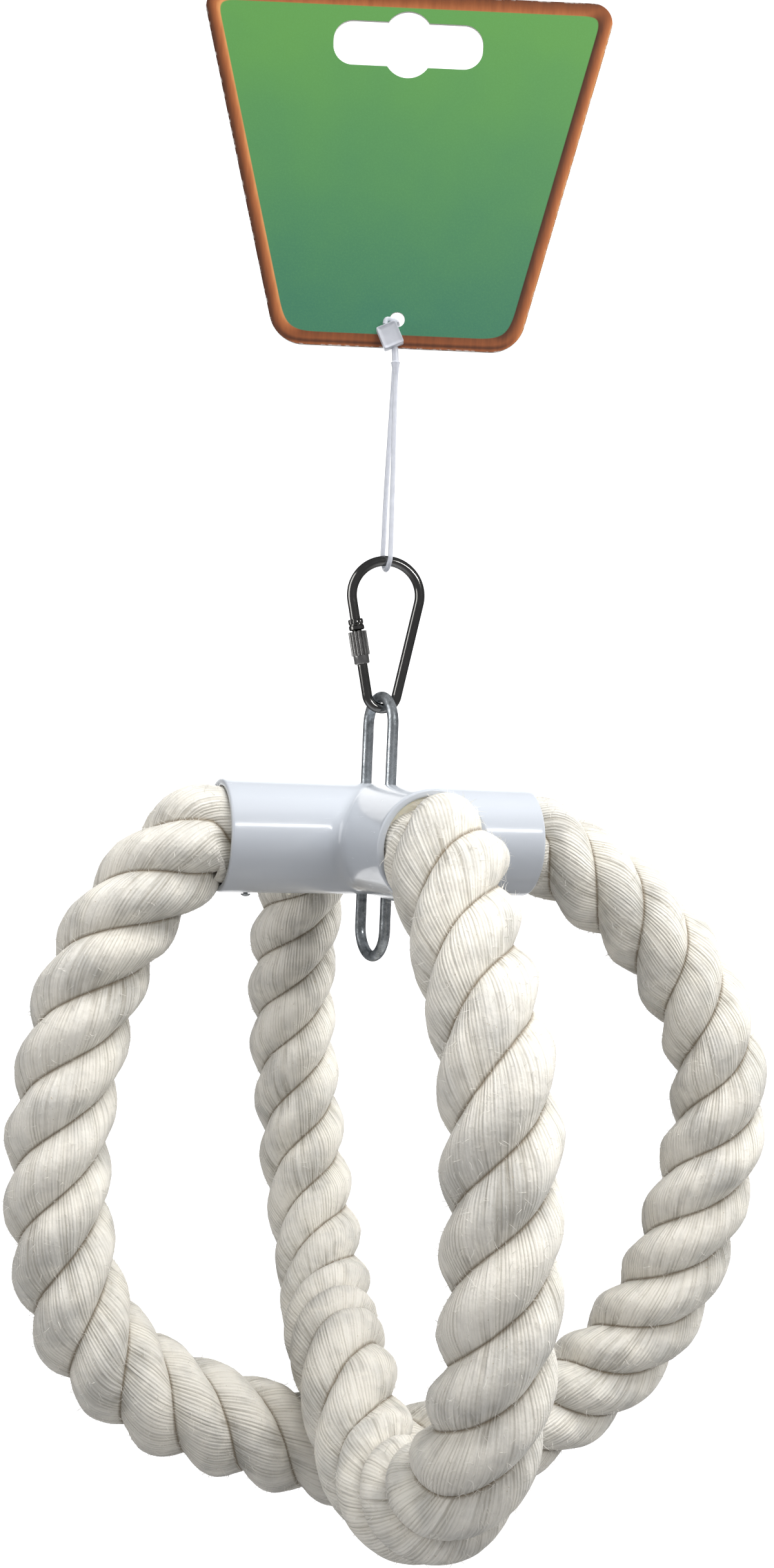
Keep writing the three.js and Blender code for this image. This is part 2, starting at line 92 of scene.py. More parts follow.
# The hub's middle and sizes, where the hanging pieces bear, and how the card and pear link turn about Z
HUB = middle("cross_hub")
HUB_REACH = (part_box("cross_hub")[1] - HUB).x
HUB_RADIUS = (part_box("cross_hub")[1] - HUB).z
SOCKETS = ((-1, 0, 0), (1, 0, 0), (0, -1, 0), (0, 1, 0))
STRAP_SEAT, CARD_NORMAL = joint_place("loop_swing")
BOW_WIRE, PEAR_ACROSS = joint_place("carabiner_swing")
FOOT_WIRE = joint_place("toy_swing")[0]
NUT_DIRECTION = joint_place("nut_travel")[1]
CARD_TURN = math.atan2(-CARD_NORMAL.x, CARD_NORMAL.y)
PEAR_TURN = math.atan2(PEAR_ACROSS.y, PEAR_ACROSS.x)

# Routes of the ropes: how far out of the nearer socket's mouth, how far sideways, and the share of the drop
SIDE_ROUTE_LEFT = [
    (0.0100, 0, 0.042), (0.0169, 0, 0.096), (0.0223, 0, 0.157), (0.0267, 0, 0.228), (0.0299, 0, 0.317),
    (0.0321, 0, 0.420), (0.0326, 0, 0.527), (0.0310, 0, 0.629), (0.0270, 0.0002, 0.722),
    (0.0193, 0.0007, 0.804), (0.0083, 0.0014, 0.868), (-0.0060, 0.0021, 0.918), (-0.0210, 0.0027, 0.960),
]
SIDE_ROUTE_RIGHT = [
    (-0.0370, 0.0026, 0.994), (-0.0190, 0.0010, 1.005), (-0.0020, -0.0020, 0.979), (0.0115, -0.0042, 0.932),
    (0.0210, -0.0065, 0.884), (0.0275, -0.0090, 0.830), (0.0325, -0.0115, 0.770), (0.0365, -0.0140, 0.703),
    (0.0397, -0.0155, 0.625), (0.0428, -0.0165, 0.543), (0.0454, -0.0165, 0.462), (0.0463, -0.0155, 0.383),
    (0.0441, -0.0135, 0.299), (0.0392, -0.0105, 0.221), (0.0320, -0.0080, 0.149), (0.0236, -0.0050, 0.090),
    (0.0136, -0.0020, 0.043),
]
FRONT_ROUTE_FRONT = [
    (0.0115, -0.0008, 0.045), (0.0200, -0.0012, 0.115), (0.0285, -0.0014, 0.190), (0.0358, -0.0015, 0.262),
    (0.0408, -0.0015, 0.340), (0.0432, -0.0013, 0.435), (0.0443, -0.0012, 0.540), (0.0452, -0.0012, 0.640),
    (0.0450, -0.0013, 0.735), (0.0425, -0.0016, 0.830), (0.0380, -0.0022, 0.922), (0.0280, -0.0031, 1.012),
    (0.0140, -0.0040, 1.073), (0.0010, -0.0046, 1.095), (-0.0105, -0.0050, 1.083), (-0.0185, -0.0050, 1.049),
    (-0.0255, -0.0047, 1.012),
]
FRONT_ROUTE_BACK = [
    (-0.0400, -0.0039, 0.985), (-0.0270, -0.0016, 0.978), (-0.0150, 0.0010, 0.973), (-0.0040, 0.0032, 0.945),
    (0.0060, 0.0045, 0.891), (0.0150, 0.0048, 0.816), (0.0215, 0.0042, 0.722), (0.0255, 0.0034, 0.617),
    (0.0275, 0.0020, 0.502), (0.0270, 0.0007, 0.387), (0.0245, -0.0003, 0.280), (0.0205, -0.0006, 0.181),
    (0.0155, -0.0006, 0.096), (0.0095, -0.0003, 0.034),
]

# The glue that ran out of the back socket, in millimetres from the middle of its mouth, and its thickness
TAIL_ROUTE = [(-8.2, -1, -8.0), (-8.8, 0.6, -9.3), (-9.0, 1.2, -12.0), (-8.8, 1.4, -16.5)]
TAIL_SHARES = [0, 0.3, 0.85, 1]
TAIL_RADII = [0.9 * MM, 0.8 * MM, 0.85 * MM, 0.25 * MM]

# Fine sizes: the ropes where they leave a socket, the glue bead, the wire's ends, the nut, the lock, the card
ROPE_OPENING = 4 * MM
SWELL_MIDDLE = 8 * MM
SWELL_SPREAD = 9 * MM
BEAD_INSET = 0.8 * MM
BEAD_WALL = 0.4 * MM
BEAD_RADIUS = 0.75 * MM
COLLAR_EDGE = 0.25 * MM
THREAD_LENGTH = 2 * MM
NUT_EDGE = 0.15 * MM
LOCK_RIM = 0.9 * MM
LOCK_SINK = 0.45 * MM
LOCK_ASIDE = 1.5 * MM
LOCK_BELOW = 3.4 * MM
CARD_EDGE = 0.06 * MM

# Second tints, which give each material its marks
COTTON_SPECK = (0.42, 0.33, 0.20, 1.0)
FIBRE_SHADE = (0.72, 0.69, 0.62, 1.0)
FIBRE_LIGHT = (0.90, 0.875, 0.82, 1.0)
PLASTIC_FLOW = (0.50, 0.53, 0.575, 1.0)
GLUE_CLOUD = (0.93, 0.91, 0.84, 1.0)
ZINC_SPARK = (0.74, 0.77, 0.79, 1.0)
NYLON_HAZE = (0.85, 0.87, 0.93, 1.0)
PRINT_SPECKLE = (0.16, 0.46, 0.15, 1.0)
BORDER_GLINT = (0.78, 0.34, 0.12, 1.0)
BORDER_RUST = (0.28, 0.085, 0.028, 1.0)
BORDER_UMBER = (0.13, 0.043, 0.018, 1.0)
BOARD_FIBRE = (0.70, 0.68, 0.63, 1.0)
FLOOR_CLOUD = (0.88, 0.88, 0.885, 1.0)

# The stage: sensor width in millimetres, sizes of the floor and backdrop, and the even light from all round
SENSOR_WIDTH = 36
FLOOR_HALF = 3.0
BACKDROP_HALF = 1.1
BACKDROP_FAR = 1.6
BACKDROP_HEIGHT = 2.4
SKY_COLOUR = (0.95, 0.96, 1.0, 1.0)
SKY_STRENGTH = 0.17

# Name, place from the hub's middle, size, power, and whether it shows in the highlights
LIGHTS = (
    ("key_strip", (0.30, -0.855, 0.42), (0.50, 0.07), 2.2, True),
    ("top_softbox", (0.22, -0.30, 0.92), (0.8, 0.6), 12.5, False),
    ("right_softbox", (0.75, -0.04, 0.26), (0.4, 0.8), 3.9, False),
    ("left_softbox", (-0.80, 0.0, 0.26), (0.45, 0.8), 3.1, True),
    ("front_fill", (-0.22, -0.98, 0.28), (0.8, 0.8), 2.1, False),
)


def number(name, description, default, **options):
    return bpy.props.FloatProperty(name=name, description=description, default=default, **options)


def length(name, description, default):
    return number(name, description, default, unit="LENGTH", precision=5)


def share(name, description, default):
    return number(name, description, default, subtype="FACTOR")


def angle(name, description, default):
    return number(name, description, math.radians(default), subtype="ANGLE")


def count(name, description, default):
    return bpy.props.IntProperty(name=name, description=description, default=default, min=1)


def colour(name, description, default):
    return bpy.props.FloatVectorProperty(
        name=name, description=description, default=(*default, 1.0), size=4, min=0, max=1, subtype="COLOR"
    )


class RopeSettings(bpy.types.PropertyGroup):
    """Sizes and colours of the two laid cotton ropes."""

    diameter: length("Diameter", "Nominal diameter of the rope", 21.5 * MM)
    crest_diameter: length("Crest diameter", "Across the crests of the free strands", 23.2 * MM)
    lay_length: length("Lay length", "Length of one full turn of a strand", 44 * MM)
    strand_offset: length("Strand offset", "From the rope's middle to a strand's middle", 4.2 * MM)
    unevenness: length("Unevenness", "How far the strands swell and shrink", 0.45 * MM)
    side_drop: length("Side drop", "From the hub's axis to the side ring's crossing", 143.5 * MM)
    front_drop: length("Front drop", "From the hub's axis to the front ring's crossing", 121.4 * MM)
    end_reach: length("End", "From the hub's middle to the rope's end in its socket", 15 * MM)
    straight: length("Straight", "How far the rope runs straight out of a socket", 3.2 * MM)
    mouth_swell: share("Mouth swell", "How much the rope opens up where it leaves the front socket", 0.11)
    step: length("Step", "Between the rings of the mesh", 0.55 * MM)
    section_points: count("Section points", "Points round the rope", 72)
    yarns: count("Yarns", "Yarns that lie round the rope", 96)
    fibres: number("Fibres", "Loose fibres on a square metre", 272000, min=0)
    fibre_length: length("Fibre length", "Length of a loose fibre", 2.1 * MM)
    fibre_radius: length("Fibre radius", "Thickness of a loose fibre's root", 0.06 * MM)
    crest_colour: colour("Crest", "Cotton on the strands' crests", (0.84, 0.80, 0.715))
    # Pale yarns at random, and the painted light on each yarn's crest
    light_colour: colour("Light", "The lightest yarns", (0.89, 0.86, 0.79))
    # Painted shade in the grooves between the yarns
    gap_colour: colour("Gap", "Between two yarns", (0.42, 0.39, 0.325))
    # Painted shade deep in the creases between the strands
    crease_colour: colour("Crease", "Cotton deep between the strands", (0.24, 0.19, 0.125))
    # Painted shade: dark lines between loose fibres, and the strands' shaded flanks
    streak_colour: colour("Streak", "Thin dark lines between loose fibres", (0.31, 0.28, 0.225))
    # Grey laid over the cotton in patches at random
    grey_colour: colour("Grey", "Handled cotton", (0.50, 0.49, 0.46))


class HubSettings(bpy.types.PropertyGroup):
    """Sizes and colours of the four-way hub, its glue and brads."""

    bore: length("Bore", "Inside diameter of a socket", 22.1 * MM)
    lip: length("Lip", "Rounding of a socket's mouth", 0.5 * MM)
    seam: length("Seam", "Fillet where two sockets meet", 3 * MM)
    link_hole: length("Link hole", "Diameter of the holes for the long link", 3.1 * MM)
    glue_diameter: length("Glue diameter", "Width of the glue inside the sockets", 21.5 * MM)
    glue_reach: length("Glue reach", "How far the glue runs into a socket", 14.7 * MM)
    plug_inset: length("Plug inset", "From a socket's mouth to the glue round the rope", 1.6 * MM)
    plug_depth: length("Plug depth", "How deep that glue runs", 2.5 * MM)
    brad_inset: length("Brad inset", "From a socket's mouth to its brad", 6.7 * MM)
    brad_head: length("Brad head", "Diameter of a brad's head", 2.2 * MM)
    brad_head_height: length("Brad head height", "Height of a brad's head", 0.55 * MM)
    brad_shank: length("Brad shank", "Diameter of a brad's shank", 1.0 * MM)
    brad_length: length("Brad length", "Length of a brad's shank", 8.0 * MM)
    brad_gap: length("Brad gap", "Between the hub and a brad's head", 0.3 * MM)
    plastic: colour("Plastic", "Moulded plastic", (0.535, 0.565, 0.61))
    glue: colour("Glue", "Set glue", (0.86, 0.80, 0.62))


class WireSettings(bpy.types.PropertyGroup):
    """Sizes and colours of the pear link, its nut and the long link."""

    pear_wire: length("Pear wire", "Wire of the pear link", 2.3 * MM)
    bow_radius: length("Bow radius", "Radius of the wire's middle round the bow", 7.85 * MM)
    foot_radius: length("Foot radius", "Radius of the wire's middle round the foot", 3.45 * MM)
    collar_start: length("Collar start", "From the bow down the gate leg to the collar", 4.3 * MM)
    collar_diameter: length("Collar diameter", "Collar on the wire's upper end", 3.5 * MM)
    collar_length: length("Collar length", "Collar on the wire's upper end", 2.6 * MM)
    collar_gap: length("Collar gap", "Between the collar and the nut", 0.3 * MM)
    collar_notches: count("Collar notches", "Notches round the collar's crown", 6)
    notch_depth: length("Notch depth", "Depth of those notches", 0.35 * MM)
    stub: length("Stub", "Wire below the collar, inside the nut", 1.0 * MM)
    gate: length("Gate", "Opening between the wire's ends", 4.2 * MM)
    thread_pitch: length("Thread pitch", "From one thread to the next", 0.5 * MM)
    thread_depth: length("Thread depth", "Depth of the thread", 0.12 * MM)
    nut_diameter: length("Nut diameter", "Across the nut's ridges", 4.2 * MM)
    nut_bore: length("Nut bore", "Hole through the nut", 2.8 * MM)
    nut_grip: length("Nut grip", "Length of the ridged part", 5.5 * MM)
    nut_nose: length("Nut nose", "Length of the plain end", 2.0 * MM)
    nut_nose_diameter: length("Nut nose diameter", "Diameter of the plain end", 3.6 * MM)
    nut_ridges: count("Nut ridges", "Ridges round the grip", 14)
    nut_ridge: length("Nut ridge", "Radius of a ridge", 0.36 * MM)
    link_wire: length("Link wire", "Wire of the long link", 2.5 * MM)
    link_width: length("Link width", "Across the long link", 15.5 * MM)
    link_turn: angle("Link turn", "Turn of the long link about the vertical", -84)
    nickel: colour("Nickel", "Polished nickel plate", (0.24, 0.235, 0.225))
    nickel_dark: colour("Dark nickel", "Tarnish in the nickel plate", (0.15, 0.148, 0.14))
    nut_nickel: colour("Nut nickel", "Brighter nickel plate of the nut", (0.56, 0.55, 0.535))
    zinc: colour("Zinc", "Dull galvanised wire", (0.58, 0.615, 0.64))
    zinc_dark: colour("Dark zinc", "Tarnish in the galvanised wire", (0.20, 0.22, 0.23))


class LoopSettings(bpy.types.PropertyGroup):
    """Sizes and colours of the nylon loop fastener."""

    strap: length("Strap", "Diameter of the strap", 1.1 * MM)
    bend: length("Bend", "Radius of the strap's middle under the bow", 2.05 * MM)
    lock_width: length("Lock width", "Width of the lock block", 4.7 * MM)
    lock_height: length("Lock height", "Height of the lock block", 5.3 * MM)
    lock_depth: length("Lock depth", "Depth of the lock block", 3.2 * MM)
    lock_corner: length("Lock corner", "Rounding of the lock block's edges", 0.35 * MM)
    lock_tilt: angle("Lock tilt", "Tilt of the lock block", 25)
    lock_gap: length("Lock gap", "Between the lock and the strap's ends", 0.3 * MM)
    neck: length("Neck", "Diameter of the barbed neck", 2.1 * MM)
    neck_length: length("Neck length", "Length of the barbed neck", 6.0 * MM)
    nylon: colour("Nylon", "Translucent moulded nylon", (0.76, 0.78, 0.84))


class CardSettings(bpy.types.PropertyGroup):
    """Sizes and colours of the header card."""

    top_width: length("Top width", "Width at the top edge", 95 * MM)
    height: length("Height", "Height of the card", 80 * MM)
    side_lean: angle("Side lean", "Lean of the side edges", 14)
    thickness: length("Thickness", "Thickness of the board", 0.7 * MM)
    top_corner: length("Top corner", "Rounding of the top corners", 4.5 * MM)
    bottom_corner: length("Bottom corner", "Rounding of the bottom corners", 8 * MM)
    slot_width: length("Slot width", "Width of the hanging slot", 34 * MM)
    slot_height: length("Slot height", "Height of the slot's arms", 10 * MM)
    slot_corner: length("Slot corner", "Rounding of the slot's arms", 4.4 * MM)
    eye: length("Eye", "Height of the slot at its round eye", 15 * MM)
    eye_bow: length("Eye bow", "Radius of the eye's two bows", 5.5 * MM)
    above_eye: length("Above the eye", "From the eye to the card's top edge", 3.8 * MM)
    tag_hole: length("Tag hole", "Hole for the nylon loop", 3.4 * MM)
    tag_hole_height: length("Tag hole height", "From the card's bottom edge to the hole", 6.5 * MM)
    border: length("Border", "Width of the printed border", 3.0 * MM)
    top_green: colour("Top green", "Print at the card's top", (0.125, 0.345, 0.085))
    bottom_green: colour("Bottom green", "Print at the card's bottom", (0.058, 0.212, 0.122))
    copper: colour("Copper", "Lit part of the printed border", (0.50, 0.165, 0.055))
    brown: colour("Brown", "Shaded part of the printed border", (0.060, 0.021, 0.011))
    board: colour("Board", "Plain board of the back and edges", (0.80, 0.78, 0.74))


class StageSettings(bpy.types.PropertyGroup):
    """The camera, lights and surroundings."""

    distance: length("Distance", "From the camera to the hub's middle", 380 * MM)
    azimuth: angle("Azimuth", "Where the camera stands round the hub", -19.435)
    elevation: angle("Elevation", "How high the camera stands above the hub", 2.776)
    look_azimuth: angle("Look azimuth", "Direction that the camera looks from", -19.74)
    look_down: angle("Look down", "How far the camera looks down", 0.87)
    roll: angle("Roll", "How far the picture turns clockwise", 2.35)
    lens: number("Lens", "Focal length on a 36 mm sensor", 38.08, subtype="DISTANCE_CAMERA")
    floor_height: length("Floor", "Height of the floor", -1300 * MM)
    floor: colour("Floor colour", "Pale floor and backdrop", (0.93, 0.93, 0.935))


class RopeRingSettings(bpy.types.PropertyGroup):
    """All settings of the rope cross ring."""

    rope: bpy.props.PointerProperty(name="Rope", type=RopeSettings)
    hub: bpy.props.PointerProperty(name="Hub", type=HubSettings)
    wire: bpy.props.PointerProperty(name="Wire", type=WireSettings)
    loop: bpy.props.PointerProperty(name="Loop", type=LoopSettings)
    card: bpy.props.PointerProperty(name="Card", type=CardSettings)
    stage: bpy.props.PointerProperty(name="Stage", type=StageSettings)


def settings():
    return bpy.context.scene.rope_ring


class NodeBuilder:
    """Adds nodes to a tree and links their sockets in one go."""

    def __init__(self, tree):
        self.tree = tree

    def node(self, kind, inputs=None, **options):
        """Makes a node. Its inputs, by name or index, are values, sockets, or lists of sockets to join."""
        made = self.tree.nodes.new(kind)
        for name, value in options.items():
            setattr(made, name, value)
        for key, value in (inputs or {}).items():
            for source in value if isinstance(value, list) else [value]:
                if isinstance(source, bpy.types.NodeSocket):
                    self.tree.links.new(source, made.inputs[key])
                else:
                    made.inputs[key].default_value = source
        return made

    def add(self, kind, inputs=None, output=0, **options):
        """Makes a node and gives one of its outputs."""
        return self.node(kind, inputs, **options).outputs[output]

    def math(self, operation, *values):
        return self.add("ShaderNodeMath", dict(enumerate(values)), operation=operation)

    def plus(self, first, second):
        return self.math("ADD", first, second)

    def minus(self, first, second):
        return self.math("SUBTRACT", first, second)

    def times(self, first, second):
        return self.math("MULTIPLY", first, second)

    def vector_math(self, operation, *values):
        return self.add("ShaderNodeVectorMath", dict(enumerate(values)), operation=operation)

    def scaled(self, vector, factors):
        return self.vector_math("MULTIPLY", vector, factors)

    def vector(self, **axes):
        return self.add("ShaderNodeCombineXYZ", axes)

    def polar(self, reach, bearing, **height):
        """The point at a reach from Z, in the direction of a bearing."""
        across = self.times(reach, self.math("COSINE", bearing))
        return self.vector(X=across, Y=self.times(reach, self.math("SINE", bearing)), **height)

    def noise(self, vector, scale, detail=2.0, roughness=0.5):
        inputs = {"Vector": vector, "Scale": scale, "Detail": detail, "Roughness": roughness}
        return self.add("ShaderNodeTexNoise", inputs)

    def ramp(self, factor, stops):
        """A colour ramp; stops are (position, colour) pairs."""
        made = self.node("ShaderNodeValToRGB", {"Fac": factor})
        elements = made.color_ramp.elements
        while len(elements) < len(stops):
            elements.new(0.5)
        for element, (position, tint) in zip(elements, stops):
            element.position = position
            element.color = tint
        return made.outputs["Color"]

    def remap(self, value, low, high, to_low=0.0, to_high=1.0):
        inputs = {"Value": value, "From Min": low, "From Max": high, "To Min": to_low, "To Max": to_high}
        return self.add("ShaderNodeMapRange", inputs)

    def mix(self, factor, first, second):
        return self.add("ShaderNodeMix", {0: factor, 6: first, 7: second}, 2, data_type="RGBA")

    def cover(self, base, tint, field, low, high, to_low=0.0, to_high=1.0):
        """A tint over a base colour. Its share follows a field, remapped."""
        return self.mix(self.remap(field, low, high, to_low, to_high), base, tint)

    def store(self, geometry, name, value, kind="FLOAT"):
        inputs = {"Geometry": geometry, "Name": name, "Value": value}
        return self.add("GeometryNodeStoreNamedAttribute", inputs, data_type=kind)

    def circle(self, sides, radius):
        return self.add("GeometryNodeCurvePrimitiveCircle", {"Resolution": sides, "Radius": radius})

    def tube(self, line, section, scale):
        inputs = {"Curve": line, "Profile Curve": section, "Scale": scale, "Fill Caps": True}
        return self.add("GeometryNodeCurveToMesh", inputs)

    def copies(self, piece, points, **inputs):
        return self.add("GeometryNodeInstanceOnPoints", {"Points": points, "Instance": piece, **inputs})


class MaterialBuilder(NodeBuilder):
    """Makes a material with a Principled shader whose constant sockets are set."""

    def __init__(self, name, **constants):
        self.material = bpy.data.materials.new(name)
        self.material.use_nodes = True
        super().__init__(self.material.node_tree)
        for key, value in constants.items():
            self.socket(key).default_value = value

    def socket(self, key):
        return self.tree.nodes["Principled BSDF"].inputs[key.replace("_", " ")]

    def place(self):
        return self.add("ShaderNodeTexCoord", output="Object")

    def bump(self, height, strength, distance):
        return self.add("ShaderNodeBump", {"Height": height, "Strength": strength, "Distance": distance})

    def finish(self, **sockets):
        """Links outputs to the shader's sockets and gives the material."""
        for key, source in sockets.items():
            self.tree.links.new(source, self.socket(key))
        return self.material


def grey(value):
    return (value, value, value, 1.0)


def cleaned(mesh):
    """The mesh with doubles merged and faces that point outwards."""
    shape = bmesh.new()
    shape.from_mesh(mesh)
    bmesh.ops.remove_doubles(shape, verts=shape.verts, dist=1e-7)
    bmesh.ops.recalc_face_normals(shape, faces=shape.faces)
    shape.to_mesh(mesh)
    shape.free()
    return mesh


def mesh_from(name, points, faces):
    mesh = bpy.data.meshes.new(name)
    mesh.from_pydata([tuple(p) for p in points], [], [tuple(f) for f in faces])
    return cleaned(mesh)


def add_object(name, data):
    made = bpy.data.objects.new(name, data)
    bpy.context.scene.collection.objects.link(made)
    return made


def finish_piece(made, body, nodes=(), smooth_angle=40):
    """Shades a finished piece smooth, puts it on the body it rides on, and hides the CAD nodes it stands for.
    """
    made.data.polygons.foreach_set("use_smooth", [True] * len(made.data.polygons))
    made.data.set_sharp_from_angle(angle=math.radians(smooth_angle))
    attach(made, body)
    if nodes:
        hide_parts(*nodes)
    return made


def add_piece(name, shape, material, body, nodes=()):
    """A finished piece from points and faces, of one material."""
    made = add_object(name, mesh_from(name, *shape))
    made.data.materials.append(material)
    return finish_piece(made, body, nodes)


def baked(made):
    """The object's mesh with its modifiers applied, which are then removed."""
    evaluated = made.evaluated_get(bpy.context.evaluated_depsgraph_get())
    mesh = bpy.data.meshes.new_from_object(evaluated)
    made.modifiers.clear()
    return mesh


def solve_nodes(name, source, tree, group, **others):
    """A new object from a Geometry Nodes tree run on the source object, which is removed.

    The tree's inputs take the settings of the same names.
    """
    modifier = source.modifiers.new(tree.name, "NODES")
    modifier.node_group = tree
    values = {field.name: getattr(group, field.identifier) for field in group.bl_rna.properties}
    values.update(others)
    for item in tree.interface.items_tree:
        if item.in_out == "INPUT" and item.name in values:
            modifier[item.identifier] = values[item.name]
    mesh = baked(source)
    mesh.name = name
    bpy.data.objects.remove(source)
    return add_object(name, mesh)


def new_tree(name, measures, counts=()):
    """A builder for a Geometry Nodes tree with named inputs, and the sockets of those inputs."""
    tree = bpy.data.node_groups.new(name, "GeometryNodeTree")
    labels = [("Geometry", "NodeSocketGeometry")]
    labels += [(label, "NodeSocketFloat") for label in measures]
    labels += [(label, "NodeSocketInt") for label in counts]
    for label, kind in labels:
        tree.interface.new_socket(label, in_out="INPUT", socket_type=kind)
    tree.interface.new_socket("Geometry", in_out="OUTPUT", socket_type="NodeSocketGeometry")
    build = NodeBuilder(tree)
    return build, build.node("NodeGroupInput").outputs


def end_tree(build, geometry, material):
    """Ends a tree in Realize Instances and Set Material, and gives the tree."""
    realized = build.add("GeometryNodeRealizeInstances", {"Geometry": geometry})
    painted = build.add("GeometryNodeSetMaterial", {"Geometry": realized, "Material": material})
    build.node("NodeGroupOutput", {"Geometry": painted})
    return build.tree


def curve_through(stops, spacing):
    """Points about the spacing apart on a centripetal curve through the stops."""
    stops = np.array(stops, float)
    first, last = 2 * stops[0] - stops[1], 2 * stops[-1] - stops[-2]
    stops = np.vstack([first, stops, last])
    points = []
    for p0, p1, p2, p3 in zip(stops, stops[1:], stops[2:], stops[3:]):
        t1 = np.linalg.norm(p1 - p0) ** 0.5
        t2 = t1 + np.linalg.norm(p2 - p1) ** 0.5
        t3 = t2 + np.linalg.norm(p3 - p2) ** 0.5
        steps = max(2, math.ceil(np.linalg.norm(p2 - p1) / spacing))
        t = np.linspace(t1, t2, steps, endpoint=False)[:, None]
        a1 = p0 + (p1 - p0) * t / t1
        a2 = p1 + (p2 - p1) * (t - t1) / (t2 - t1)
        a3 = p2 + (p3 - p2) * (t - t2) / (t3 - t2)
        b1 = a1 + (a2 - a1) * t / t2
        b2 = a2 + (a3 - a2) * (t - t1) / (t3 - t1)
        points.append(b1 + (b2 - b1) * (t - t1) / (t2 - t1))
    return np.vstack([*points, stops[-2]])


def bearings(sides):
    """Angles evenly round a circle."""
    return np.linspace(0, 2 * np.pi, sides, endpoint=False)


def ring_faces(rows, sides, closed=False):
    """Quads between the rings of a tube, which may close on itself."""
    faces = []
    for row in range(rows if closed else rows - 1):
        here, there = row * sides, (row + 1) % rows * sides
        for column in range(sides):
            after = (column + 1) % sides
            faces.append((here + column, here + after, there + after, there + column))
    return faces


def end_faces(rows, sides):
    """The two faces that close a tube's ends."""
    return [tuple(range(sides - 1, -1, -1)), tuple(range((rows - 1) * sides, rows * sides))]


def sweep(line, radii, sides, closed=False):
    """Points and faces of a tube along a line.

    Radii is one value, one for each point, or one for each point and side.
    """
    line = np.array(line, float)
    rows = len(line)
    if closed:
        tangents = np.roll(line, -1, axis=0) - np.roll(line, 1, axis=0)
    else:
        tangents = np.gradient(line, axis=0)
    tangents /= np.linalg.norm(tangents, axis=1)[:, None]
    normal = np.cross(tangents[0], (0.31, 0.77, 0.56))
    around = bearings(sides)
    if np.ndim(radii) < 2:
        radii = np.reshape(radii, (-1, 1))
    points = []
    for place, tangent, radius in zip(line, tangents, np.broadcast_to(radii, (rows, sides))):
        normal = normal - tangent * (normal @ tangent)
        normal /= np.linalg.norm(normal)
        side = np.cross(tangent, normal)
        ring = np.cos(around)[:, None] * normal + np.sin(around)[:, None] * side
        points.extend(place + ring * radius[:, None])
    faces = ring_faces(rows, sides, closed)
    if not closed:
        faces += end_faces(rows, sides)
    return np.array(points), faces


def turn_to(direction):
    """The turn that takes +Z to a direction."""
    return UP.rotation_difference(Vector(direction)).to_matrix()


def turn_about_z(points, turn):
    return np.asarray(points) @ np.array(Matrix.Rotation(turn, 3, "Z")).T


def ring_sweep(line, radii, direction):
    """Points and faces of rings stacked along one direction, each with its own outline."""
    rows, sides = radii.shape
    around = bearings(sides)
    flat = np.c_[np.cos(around), np.sin(around), np.zeros(sides)] @ np.array(turn_to(direction)).T
    points = np.vstack([np.array(place) + flat * radius[:, None] for place, radius in zip(line, radii)])
    return points, end_faces(rows, sides) + ring_faces(rows, sides)


def turned(profile, sides):
    """Points and faces of a solid of revolution about Z, from (radius, height) pairs."""
    around = bearings(sides)
    points, rows = [], []
    for radius, height in profile:
        if radius < 1e-9:
            rows.append([len(points)] * sides)
            points.append((0.0, 0.0, height))
        else:
            rows.append(list(range(len(points), len(points) + sides)))
            points.extend((radius * math.cos(a), radius * math.sin(a), height) for a in around)
    faces = []
    for low, high in zip(rows, rows[1:]):
        for column in range(sides):
            after = (column + 1) % sides
            face = tuple(dict.fromkeys([low[column], low[after], high[after], high[column]]))
            if len(face) > 2:
                faces.append(face)
    return np.array(points), faces


def moved(shape, place, direction):
    """A shape's points with +Z turned to a direction and its origin at a place."""
    points, faces = shape
    return points @ np.array(turn_to(direction)).T + np.array(place), faces


def joined(*shapes):
    """Several shapes as one list of points and faces."""
    points, faces, start = [], [], 0
    for shape_points, shape_faces in shapes:
        points.append(shape_points)
        faces.extend(tuple(i + start for i in face) for face in shape_faces)
        start += len(shape_points)
    return np.vstack(points), faces


